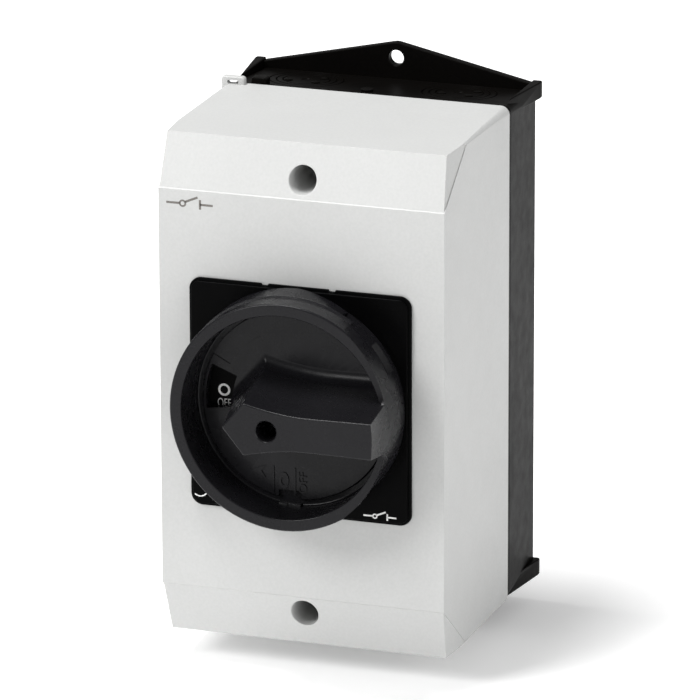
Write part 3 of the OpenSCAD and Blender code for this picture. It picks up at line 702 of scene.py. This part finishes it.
def wall_lug():
    """A triangular lug whose sides run from the base's corners and touch its round tip."""
    foot_x, foot_y, tip_r = BACK_W / 2 - 0.9, BACK_H / 2 + 2.5, 5.3
    rise = LUG_Y - foot_y
    lean = atan2(rise, foot_x) + asin(tip_r / hypot(rise, foot_x))
    arc = [radians(90) - lean + 2 * lean * k / 16 for k in range(17)]
    tip = [(tip_r * sin(pi / 2 - a), LUG_Y + tip_r * cos(pi / 2 - a)) for a in arc]
    outline = [(foot_x, BACK_H / 2 - 8), (foot_x, foot_y), *tip,
               (-foot_x, foot_y), (-foot_x, BACK_H / 2 - 8)]
    lug = edge_rounded(prism(outline, 0, LUG_T), 0.4, 3, 40)
    return cut(lug, hole(LUG_HOLE_R, -1, LUG_T, 0.35, (0, LUG_Y)))


def corner_ear():
    root = BACK_W / 2 - 1
    side = [(root, 0), (root + 3.4, 0), (root + 3.4, 2.4), (root, BASE_FRONT - 6)]
    ear = prism(rounded(side, [0, 0.9, 0.9, 0], 4), 0, 5.7)
    edge_rounded(ear, 0.45, 3, 50)
    return moved(ear, (0, BACK_H / 2 + 3.2, 0), (90, 0, 0))


def knock_out_grooves():
    """Scored rings in an end wall, round a small centre dimple, on both sides of its middle."""
    middle = BASE_FRONT / 2
    rings = [turned([(r - 0.4, 0.2), (r, -0.5), (r + 0.4, 0.2)], 72) for r in (8, 10.2, 12.6)]
    dimple = turned([(0, -0.5), (1.6, -0.3), (2.2, 0.4), (0, 0.4)], 32)
    item = together(rings + [dimple])
    facing = (-90 - degrees(BASE_END_TILT), 0, 0)
    spots = [((x, end_wall_y(middle), middle), facing) for x in (-KNOCK_OUT_X, KNOCK_OUT_X)]
    return copies(item, spots, black_base)


def knock_out_bosses():
    """Small domes on the end wall where each knock-out is struck out."""
    middle = BASE_FRONT / 2
    facing = (-90 - degrees(BASE_END_TILT), 0, 0)
    dome = turned([(0, -0.6), (1.5, -0.6), (1.45, 0.25), (1.1, 0.5), (0, 0.6)], 24)
    spots = [((x + dx, end_wall_y(middle + dz), middle + dz), facing)
             for x in (-KNOCK_OUT_X, KNOCK_OUT_X)
             for dx, dz in ((-5.2, 3.4), (5.2, -3.4), (4.6, 4.2))]
    return copies(dome, spots, black_base)


def base_tray():
    """The open box with its drafted walls, the groove under its rim and its rounded foot."""
    back, rim = (BACK_W, BACK_H), (RIM_W, RIM_H)

    def ring(z, inset, r=CORNER_R):
        share = z / BASE_FRONT
        w, h = (b + (f - b) * share - 2 * inset for b, f in zip(back, rim))
        return rounded_rect(w, h, r, 8), z

    shell = loft([ring(0, 0.7), ring(0.12, 0.3), ring(0.35, 0.1), ring(0.7, 0),
                  ring(BASE_FRONT - 3.2, 0), ring(BASE_FRONT - 3.0, 0.35),
                  ring(BASE_FRONT - 2.8, 0), ring(BASE_FRONT - 0.35, 0), ring(BASE_FRONT, 0.3)])
    hollow = loft([ring(BASE_WALL, BASE_WALL, 2), ring(BASE_FRONT - 5, BASE_WALL, 2)])
    mouth = prism(rounded_rect(2 * HALF_W - 8.8, 2 * HALF_H - 8.8, 2),
                  BASE_FRONT - 5.01, BASE_FRONT + 1)
    return cut(shell, hollow, mouth)


def screw_posts(low):
    """The two posts for the cover's screws, each with three webs."""
    posts = both_ends(rod(5.6, low, POST_TOP, (0, POST_Y), 64))
    webs = (box((-0.7, POST_Y, low), (0.7, BACK_H / 2 - 1, 28)),
            box((0, POST_Y - 0.7, low), (9.5, POST_Y + 0.7, 22)),
            box((-9.5, POST_Y - 0.7, low), (0, POST_Y + 0.7, 22)))
    return posts, [piece for web in webs for piece in both_ends(web)]


def terminal_trays(low):
    """A bed and two end stops for each terminal bar."""
    trays = [box((x, -4.2, low), (x + 1.2, 4.2, BASE_WALL + 7)) for x in (-13.2, 12)]
    trays.append(box((-12, -3, low), (12, 3, BASE_WALL + 1.2)))
    bar_x, bar_y = (bar_low.x + bar_high.x) / 2, (bar_low.y + bar_high.y) / 2
    trays = [moved(tray, (bar_x, bar_y, 0)) for tray in trays]
    return trays + [mirrored(copied(tray), 0) for tray in trays]


def build_base():
    shell = base_tray()
    low = BASE_WALL - 0.5
    foot_y = foot_high.y - 4.5
    posts, webs = screw_posts(low)
    pads = both_ends(rod(4.5, low, foot_low.z, (0, foot_y), 48))
    pads += quarters(rod(3, low, foot_low.z, (17, 17), 32))
    trays = terminal_trays(low)
    lugs = half_turned(wall_lug())
    ears = quarters(corner_ear())
    stop = moved(pillow(5.4, 3.6, 0.9, 0, 4, 0.4), (-HALF_W + 11.9, HALF_H + 0.3, BASE_FRONT - 4))
    nub = moved(rod(2.1, -0.5, 0.9, steps=32), (-2, end_wall_y(29) - 0.2, 27.5), (-90, 0, 0))
    join(shell, *posts, *pads, *webs, *trays, *lugs, *ears, stop, *half_turned(nub))
    gasket_groove = prism(rounded_rect(2 * HALF_W - 2.7, 2 * HALF_H - 2.7, 2.1),
                          BASE_FRONT - 2, BASE_FRONT + 1)
    cut(gasket_groove, prism(rounded_rect(2 * HALF_W - 5.3, 2 * HALF_H - 5.3, 1), 20, 50))
    drills = both_ends(rod(3.25, POST_TOP - 8, POST_TOP + 1, (0, POST_Y), 48))
    drills += both_ends(rod(2.2, POST_TOP - 11, POST_TOP, (0, POST_Y), 32))
    drills += both_ends(rod(2, 1, foot_low.z + 1, (0, foot_y), 32))
    marks = quarters(rod(3.2, -0.5, 0.25, (34, 62), 32))
    marks += both_ends(rod(4.0, -0.5, 0.3, (0, POST_Y), 32))
    frame_mark = prism(rounded_rect(58, 58, 4, 6), -0.5, 0.5)
    cut(frame_mark, prism(rounded_rect(54, 54, 3, 6), -1, 1))
    cut(shell, *half_turned(knock_out_grooves()), gasket_groove, *drills, *marks, frame_mark)
    join(shell, *half_turned(knock_out_bosses()))
    hand_over(shell, "base_moulding", black_base, "root", "base_plastic", ["base_shell"])


# ---- Front plate and its printing ----

def build_plate():
    steps = [(0.35, FRONT), (0.1, FRONT + 0.1), (0, FRONT + 0.3), (0, FRONT + 1.0),
             (0.1, FRONT + 1.17), (0.35, FRONT + 1.25), (0.9, FRONT + 1.3), (0.9, PLATE_Z - 0.35),
             (0.97, PLATE_Z - 0.15), (1.1, PLATE_Z - 0.04), (1.3, PLATE_Z)]
    plate = loft([(rounded_rect(PLATE_W - 2 * d, PLATE_H - 2 * d, 4 - d, 10), z) for d, z in steps])
    join(plate, *quarters(rod(3, plate_low.z, FRONT + 0.2, PLATE_SCREW_AT, 40)))
    cuts = [rod(BEARING_HOLE_R, FRONT - 1, PLATE_Z + 1, steps=96),
            ring_block(12.9, 16.1, FRONT - 1, FRONT + 1.1)]
    notch = rounded([(-1.2, -0.7), (1.2, -0.7), (1.5, 1), (-1.5, 1)], [0.4, 0.4, 0, 0], 3)
    for x in (-12.2, 11):
        cuts.append(moved(prism(notch, FRONT - 1, PLATE_Z + 1), (x, PLATE_H / 2, 0)))
    screw_holes = quarters(rod(1.25, plate_low.z - 1, PLATE_Z - 0.7, PLATE_SCREW_AT, 24))
    cut(plate, *cuts, *screw_holes)
    hand_over(plate, "front_plate_moulding", black_plate, "cover", "plate_plastic", ["front_plate"])


def lettering(text, size, z, height, at=(0, 0), turn=0):
    """Raised or printed characters, centred on a point."""
    curve = bpy.data.curves.new("text", "FONT")
    curve.body, curve.size, curve.extrude, curve.resolution_u = text, size, height / 2, 4
    curve.align_x, curve.align_y = "CENTER", "CENTER"
    source = adopt(curve)
    drawn = source.evaluated_get(bpy.context.evaluated_depsgraph_get())
    mesh = bpy.data.meshes.new_from_object(drawn)
    drop(source)
    letters = edit(adopt(mesh), lambda bm: merged(bm, 0.002))
    return moved(letters, (*at, z + height / 2), (0, 0, turn))


def stretched(mark, across, up, at):
    """A flat mark drawn about the origin, stretched and set on a point."""
    mark.data.transform(Matrix.Translation((*at, 0)) @ Matrix.Diagonal((across, up, 1, 1)))
    return mark


def stroke(points, width, z, height):
    """A flat band of even width along a line of points."""
    left, right = [], []
    for i, p in enumerate(points):
        a, b = Vector(points[max(i - 1, 0)]), Vector(points[min(i + 1, len(points) - 1)])
        side = (b - a).normalized().orthogonal() * width / 2
        left.append(tuple(Vector(p) + side))
        right.append(tuple(Vector(p) - side))
    return prism(right + left[::-1], z, z + height)


def ring_mark(r, width, z, height, at=(0, 0)):
    return moved(ring_block(r - width / 2, r + width / 2, z, z + height, 32), (*at, 0))


def isolator_sign(z, low, width):
    """The general sign for an isolator, a line broken by an open blade, drawn 16 wide."""
    lead, *others = [stroke(line, LINE_W, z, INK_T) for line in (
        [(0, 2), (4.6, 2)], [(6.4, 2.5), (10.8, 4.4)], [(11.6, 0.4), (11.6, 3.6)],
        [(11.6, 2), (16, 2)])]
    sign = together([lead, ring_mark(0.95, 0.6, z, INK_T, (5.6, 2)), *others])
    return stretched(sign, width / 16, width / 16, low)


def build_printing():
    z = PLATE_Z - 0.01
    arc = [(-36.6, -35.2), (-35.9, -35.62), (-35.1, -35.85), (-34.3, -35.82), (-33.4, -35.45),
           (-32.6, -34.8)]
    plate_marks = [ring_mark(1.75, LINE_W, z, INK_T, (-26, 1.9)),
                   stretched(lettering("OFF", 4.2, z, INK_T), 0.66, 1, (-26, -2.7)),
                   stroke([(0, 26.9), (0, 30.6)], LINE_W, z, INK_T),
                   lettering("ON", 3.1, z, INK_T, (0, 23.4)), stroke(arc, 0.42, z, INK_T),
                   isolator_sign(z, (22.2, -37.8), 11.4)]
    hand_over(together(plate_marks), "plate_printing", white_ink, "cover", "plate_plastic")
    sign = isolator_sign(FRONT - 0.01, (-46.5, 61.6), 16.2)
    hand_over(sign, "cover_printing", grey_ink, "cover", "cover_plastic")


# ---- Handle ----

GRIP_DRAFT, TIP_DRAFT, SHOULDER_DRAFT, TAIL_DRAFT = 4.7, 6.5, 2.2, 0.6
TIP_X, SHOULDER_X, TAIL_X = -15.1, -7.7, 38
WAIST_Y, SHOULDER_RISE, TAIL_RISE = 5.8, 3.1, 0.3
WAIST_AT = 0.46
GRIP_STEPS = 14


def grip_side(t):
    """Half-width of the grip's top face, t of the way from its shoulder to its tail."""
    if t < WAIST_AT:
        return WAIST_Y + SHOULDER_RISE * (1 - t / WAIST_AT) ** 1.8
    return WAIST_Y + TAIL_RISE * (t - WAIST_AT) / (1 - WAIST_AT)


def grip_outline(k, out):
    """The grip's outline k of the way down its draft, moved out by a further amount."""
    start, end = SHOULDER_X - SHOULDER_DRAFT * k, TAIL_X + TAIL_DRAFT * k
    ts = [i / GRIP_STEPS for i in range(GRIP_STEPS + 1)]
    side = [(start + t * (end - start), grip_side(t) + GRIP_DRAFT * k) for t in ts]
    corners = [(TIP_X - TIP_DRAFT * k, 0)] + [(x, -y) for x, y in side] + side[::-1]
    shifted = []
    for i, p in enumerate(corners):
        a, b = corners[i - 1], corners[(i + 1) % len(corners)]
        n1 = Vector((p[1] - a[1], a[0] - p[0])).normalized()
        n2 = Vector((b[1] - p[1], p[0] - b[0])).normalized()
        shifted.append(tuple(Vector(p) + (n1 + n2) * (out / (1 + n1.dot(n2)))))
    n = GRIP_STEPS
    radii = [0.7, 0.9] + [0] * (n - 1) + [0.9, 0.9] + [0] * (n - 1) + [0.9]
    return rounded(shifted, radii, 4)


def grip():
    """The lever across the handle: drafted sides, a hollow at its foot and fine top edges."""
    foot_r, top_r = 3.4, 0.5
    fall = GRIP_Z - FLOOR_Z
    heights = [(foot_r, DISC_Z - 0.8)]
    for a in [radians(90 * k / 6) for k in range(7)]:
        heights.append((foot_r * (1 - sin(a)), DISC_Z + foot_r * (1 - cos(a))))
    for a in [radians(90 * k / 4) for k in range(5)]:
        heights.append((top_r * (cos(a) - 1), GRIP_Z - top_r * (1 - sin(a))))
    form = loft([(grip_outline((GRIP_Z - z) / fall, out), z) for out, z in heights])
    return common(form, rod(38.5, 100, GRIP_Z + 1, steps=128))


def cup():
    """The disc, the channel round it, the ring, its outside step and the neck."""
    profile = [(0, NECK_Z), (9, NECK_Z), (9, HANDLE_Z), (FLANGE_R, HANDLE_Z),
               (FLANGE_R - 0.25, UNDERCUT_Z - 0.6), (39.15, UNDERCUT_Z + 0.2),
               (38.6, UNDERCUT_Z + 1.3), (RING_R + 0.3, RING_Z), (RING_IN_R, RING_Z),
               (RING_IN_R, FLOOR_Z), (DISC_R, FLOOR_Z), (DISC_R, DISC_Z), (0, DISC_Z)]
    radii = [0, 0.4, 0.3, 0.35, 0, 0.15, 0.4, 0.7, 0.5, 0.6, 0.2, 0.45, 0]
    return turned(rounded(profile, radii, 4), 180)


def arc_slot(r0, r1, a0, a1, z0, z1, steps=24):
    return ring_block(r0, r1, z0, z1, steps, a0, a1 - a0)


def beyond(off, r0, r1, a0, a1, z0, z1):
    """What lies past an off-centre cone, between two angles about the handle's axis."""
    cone = turned([(0, z0 - 1), (r0, z0 - 1), (r1, z1 + 1), (0, z1 + 1)], 256)
    inside = moved(cone, (-off, 0, 0))
    return cut(arc_slot(RING_IN_R, FLANGE_R + 3, a0, a1, z0, z1, 60), inside)


def ring_fillet(side):
    """The small hollow where the grip's flank meets the ring's front."""
    y, z = side * 8.15, RING_Z - 0.2
    profile = [(y, z), (y + side * 1.5, z), (y + side * 1.5, z + 0.22), (y + side * 0.85, z + 0.45),
               (y + side * 0.4, z + 0.95), (y + side * 0.1, z + 1.7), (y, z + 1.7)]
    form = prism(profile[::side], RING_IN_R + 0.2, FLANGE_R - 0.2)
    return moved(form, turn=(90, 0, 90))


def floor_cuts(low):
    """The window over the plate's marks, the sunk field beside it and the slide's two beds."""
    return [arc_slot(21.8, 31.2, 158, 187, low, DISC_Z + 1),
            arc_slot(25.6, DISC_R + 1, 118, 152, DISC_Z - 0.3, DISC_Z + 1),
            box((-6, -FLANGE_R - 1, FLOOR_Z), (2, -RING_IN_R + 1, FLOOR_Z + 2.4)),
            box((-6, -DISC_R - 1, FLOOR_Z), (2, -RING_IN_R + 5.3, FLOOR_Z + 3))]


def skirt_cuts(low):
    """What is cut from the ring's outside: the shackle's way, the undercuts and the tail."""
    shackle_way = box((RING_IN_R - 1.4, -5.4, FLOOR_Z + 1), (FLANGE_R + 1.6, 5.4, UNDERCUT_Z - 0.6))
    return [moved(shackle_way, turn=(0, 0, 33)),
            arc_slot(RIM_R, FLANGE_R + 1, 16, 62, low, UNDERCUT_Z, 40),
            arc_slot(RIM_R, FLANGE_R + 1, -62, -16, low, RING_Z - 2.4, 40),
            beyond(4.9, 41.6, 41.2, -56, 56, low, GRIP_Z + 1),
            beyond(5.3, 39.65, 39.65, 62, 90, low, UNDERCUT_Z - 0.3)]


def neck_cuts():
    """The fixing screw's hole and counterbore, the drive slot and the seal's groove."""
    counterbore = [(0, SCREW_SEAT_Z), (3.5, SCREW_SEAT_Z), (3.5, GRIP_Z - 0.35),
                   (4.3, GRIP_Z + 0.45), (0, GRIP_Z + 0.45)]
    return [rod(1.6, NECK_Z - 1, DRIVE_HOLE_TOP, steps=32),
            box((-9.5, -1.6, NECK_Z - 1), (9.5, 1.6, NECK_Z + 1.1)),
            ring_block(7.4, 10, NECK_Z + 1.6, NECK_Z + 3.4), turned(counterbore, 64)]


def stop_bump():
    """A small dome on the skirt's side."""
    a = radians(62)
    dome = turned([(0, -1.6), (1.3, -1.6), (1.2, 0.1), (0.6, 0.55), (0, 0.65)], 24)
    return moved(dome, (37.6 * cos(a), 37.6 * sin(a), UNDERCUT_Z - 1.2), (0, 60, 62))


def build_handle():
    low = HANDLE_Z - 1
    body = join(cup(), grip())
    join(body, ring_fillet(1), ring_fillet(-1))
    join(body, stop_bump())
    cut(body, *floor_cuts(low), *skirt_cuts(low), *neck_cuts())
    hand_over(body, "handle_moulding", charcoal, "handle", "handle_plastic", ["rotary_handle"])
    z, h = DISC_Z - 0.05, 0.45
    arrow = prism([(-15.4, -23.5), (-10.4, -25.6), (-11.9, -23.4), (-10.4, -21.4)], z, z + h)
    bars = [box((x - 0.22, -31, z), (x + 0.22, -21.5, z + h)) for x in (-7.7, -0.2)]
    nought = stretched(ring_mark(1, 0.62, z, h), 1.3, 2.2, (-4.1, -26.1))
    marks = [*bars, nought, lettering("OFF", 4.2, z, h, (2.6, -26.3), 90), arrow]
    hand_over(together(marks), "handle_raised_marks", charcoal, "handle", "handle_plastic")


# ---- Screws and springs ----

def pan_screw(r, head_r, head_h, length, thread=0.5, star=True):
    """A screw with its head's underside at Z = 0 and its shank towards -Z."""
    dome = [(head_r, 0), (head_r, head_h * 0.45), (head_r * 0.93, head_h * 0.75),
            (head_r * 0.72, head_h * 0.93), (0, head_h)]
    shank = [(0, -length), (r * 0.55, -length), (r * 0.86, -length + 0.7), (r * 0.86, 0)]
    body = turned(shank + dome, 32)
    recess = head_r * 0.62
    slots = [loft([(rounded_rect(2 * recess * s, 0.42 * head_r * s, 0.05, 1), z)
                   for s, z in ((0.55, head_h * 0.35), (1.15, head_h * 1.1))])]
    if star:
        slots.append(moved(copied(slots[0]), turn=(0, 0, 90)))
    cut(body, *slots)
    turns = (length - 1.2) / thread
    ridge = coil(r * 0.86, r * 0.14, length - 1.2, turns, steel, 14)
    return together([body, moved(ridge, (0, 0, -length + 0.9))])


def build_screws():
    """Every screw set, as (piece, node, item, places) with the head where the node has it."""
    sets = []
    low, high = node_box("cover_screws")
    seat = high.z - 3.4
    sets.append(("cover_screw_pair", "cover_screws", pan_screw(2, 4.2, 3.4, seat - low.z),
                 [((0, s * POST_Y, seat), (0, 0, 20)) for s in (1, -1)]))
    low, high = node_box("foot_screws")
    sets.append(("foot_screw_pair", "foot_screws", pan_screw(1.95, 3.6, 2.4, high.z - 2.4 - low.z),
                 [((0, s * (high.y - 3.6), high.z - 2.4), (0, 0, 35)) for s in (1, -1)]))
    low, high = node_box("tie_screws")
    sets.append(("tie_screw_pair", "tie_screws", pan_screw(1.5, 2.8, 2, high.z - 2 - low.z),
                 [((s * (high.x - 2.8), s * (high.y - 2.8), high.z - 2), (0, 0, 10)) for s in (1, -1)]))
    low, high = node_box("bar_screws")
    bar_x, bar_y = high.x - 2.4 - 7.6, (low.y + high.y) / 2
    sets.append(("bar_screw_set", "bar_screws", pan_screw(1.45, 2.4, 2, high.z - 2 - low.z, 0.4, False),
                 [((s * (bar_x + dx), bar_y, high.z - 2), (0, 0, 40 + 17 * dx)) for s in (1, -1)
                  for dx in (-7.6, 0, 7.6)]))
    low, high = node_box("plate_screws")
    at = high.x - 3.9
    sets.append(("plate_screw_set", "plate_screws", pan_screw(1.2, 3.9, 2, high.z - low.z - 2, 0.4),
                 [((sx * at, sy * at, low.z + 2), (180, 0, 25)) for sx in (1, -1) for sy in (1, -1)]))
    low, high = node_box("terminal_screws")
    heights = [low.z + 2.2, high.z - 2.2]
    sets.append(("terminal_screw_set", "terminal_screws", pan_screw(1.4, 2.2, 1.85, 1.5, 0.4, False),
                 [((sx * (high.x - 2), sy * (high.y - 2.2), z), (0, sx * 90, 0)) for z in heights
                  for sx in (1, -1) for sy in (1, -1)]))
    low, high = node_box("handle_screw")
    sets.append(("handle_fixing_screw", "handle_screw", pan_screw(1.5, 2.9, 2.4, high.z - 2.4 - low.z),
                 [((0, 0, high.z - 2.4), (0, 0, 15))]))
    for name, node, item, spots in sets:
        body = frame["nodes"][node]["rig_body"]
        hand_over(copies(item, spots, steel), name, steel, body, "steel", [node])


def build_springs():
    low, high = node_box("right_springs")
    heights = [low.z + 2.35, high.z - 2.35]
    for side, node in ((1, "right_springs"), (-1, "left_springs")):
        item = coil(2.1, 0.25, high.x - low.x - 0.6, 6, spring_wire, 24)
        spots = [((side * (low.x + 0.3), 0, z), (0, side * 90, 0)) for z in heights]
        hand_over(copies(item, spots, spring_wire), node.replace("springs", "contact_springs"),
                  spring_wire, "root", "spring_steel", [node])
    low, high = node_box("detent_springs")
    start = node_box("detent_plungers")[1].x - 4 + 0.3
    item = coil(2.0, 0.25, high.x - start - 0.3, 5, spring_wire, 24)
    spots = [((s * start, 0, (low.z + high.z) / 2), (0, s * 90, 0)) for s in (1, -1)]
    hand_over(copies(item, spots, spring_wire), "detent_spring_pair", spring_wire, "root",
              "spring_steel", ["detent_springs"])


# ---- Pieces that keep their CAD form ----

def build_inside():
    for node, width, name, material, slot in (
        ("mounting_foot", 0.4, "mounting_foot_plate", block_black, "block_plastic"),
        ("rear_chamber", 0.22, "rear_contact_chamber", ivory, "chamber_plastic"),
        ("front_chamber", 0.22, "front_contact_chamber", ivory, "chamber_plastic"),
        ("detent_housing", 0.3, "detent_case", block_black, "block_plastic"),
        ("front_flange", 0.4, "switch_front_flange", block_black, "block_plastic"),
        ("detent_wheel", 0.2, "detent_star_wheel", inner_grey, "inner_plastic"),
        ("detent_plungers", 0.2, "detent_plunger_pair", steel, "steel"),
        ("rear_cam", 0.2, "rear_contact_cam", inner_grey, "inner_plastic"),
        ("front_cam", 0.2, "front_contact_cam", inner_grey, "inner_plastic"),
        ("left_carriers", 0.2, "left_contact_carriers", ivory, "chamber_plastic"),
        ("right_carriers", 0.2, "right_contact_carriers", ivory, "chamber_plastic"),
        ("left_bridges", 0.12, "left_contact_bridges", copper, "copper"),
        ("right_bridges", 0.12, "right_contact_bridges", copper, "copper"),
        ("fixed_contacts", 0.15, "fixed_contact_set", copper, "copper"),
        ("earth_terminal", 0.35, "earth_terminal_bar", brass, "brass"),
        ("neutral_terminal", 0.35, "neutral_terminal_bar", brass, "brass"),
        ("cam_shaft", 0.3, "square_cam_shaft", steel, "steel"),
        ("extension_shaft", 0.3, "square_extension_shaft", steel, "steel"),
        ("shaft_coupling", 0.35, "shaft_coupling_sleeve", steel, "steel"),
        ("coupling_screws", 0.08, "coupling_grub_screws", steel, "steel"),
        ("drive_socket", 0.3, "drive_socket_moulding", inner_grey, "inner_plastic"),
        ("handle_bearing", 0.25, "handle_bearing_bush", ivory, "chamber_plastic"),
        ("padlock_slide", 0.15, "padlock_slide_tab", block_black, "handle_plastic"),
        ("thread_inserts", 0.2, "brass_thread_inserts", brass, "brass"),
    ):
        softened(node, width, name, material, slot)
    for node in ("cover_gasket", "screw_seals", "plate_seal", "neck_seal"):
        carried = frame["nodes"][node]
        carried.data.materials.clear()
        carried.data.materials.append(rubber)
        for face in carried.data.polygons:
            face.material_index = 0


# ---- Stage, lights and camera ----

def build_stage():
    low = cad_box[0].z
    half = 9.0
    mesh = bpy.data.meshes.new("studio_floor")
    mesh.from_pydata([(-half, -half, low), (half, -half, low), (half, half, low), (-half, half, low)],
                     [], [(0, 1, 2, 3)])
    floor = adopt(mesh, "studio_floor")
    f = Finish("pale studio floor")
    socket_of(f.shader, "Specular IOR Level", 0.0)
    socket_of(f.shader, "Emission Color", (1, 1, 1, 1))
    socket_of(f.shader, "Emission Strength", 0.2)
    tone = f.between(f.noise(0.4, 2), 0, 1)
    mesh.materials.append(f.wire(colour=f.blend(tone, (0.93, 0.93, 0.93), (0.95, 0.95, 0.95)),
                                 roughness=f.between(f.noise(0.02, 2), 0.7, 0.8)))


def soft_light(name, place, size, power, aim=(0, -0.06, 0)):
    data = bpy.data.lights.new(name, "AREA")
    data.shape, data.size, data.energy = "DISK", size, power
    lamp = adopt(data, name)
    lamp.location = place
    lamp.rotation_euler = (Vector(aim) - Vector(place)).to_track_quat("-Z", "Y").to_euler()


def build_lights():
    soft_light("key softbox", (-1.65, -2.2, 1.85), 1.4, 63)
    soft_light("top softbox", (-0.6, -0.35, 2.4), 1.0, 58)
    soft_light("right fill", (2.6, -1.2, 0.9), 1.8, 22)
    world = bpy.data.worlds.new("studio")
    world.use_nodes = True
    sky = world.node_tree.nodes["Background"]
    sky.inputs["Color"].default_value = (1, 1, 1, 1)
    sky.inputs["Strength"].default_value = 0.4
    bpy.context.scene.world = world
    bpy.context.scene.view_settings.view_transform = "Standard"


def build_camera():
    place, aim = Vector((0.7432, -2.2067, 0.7139)), Vector((-0.01471, -0.00876, -0.01117))
    roll = Matrix.Rotation(radians(-0.16), 3, "Z")
    data = bpy.data.cameras.new("camera")
    data.sensor_width, data.lens = 36, 368
    data.clip_start, data.clip_end = 0.05, 40
    camera = adopt(data, "camera")
    camera.location = place
    towards = (aim - place).to_track_quat("-Z", "Y").to_matrix()
    camera.rotation_euler = (towards @ roll).to_euler()
    bpy.context.scene.camera = camera


build_camera()
build_lights()
build_stage()
build_cover()
build_base()
build_plate()
build_printing()
build_handle()
build_screws()
build_springs()
build_inside()
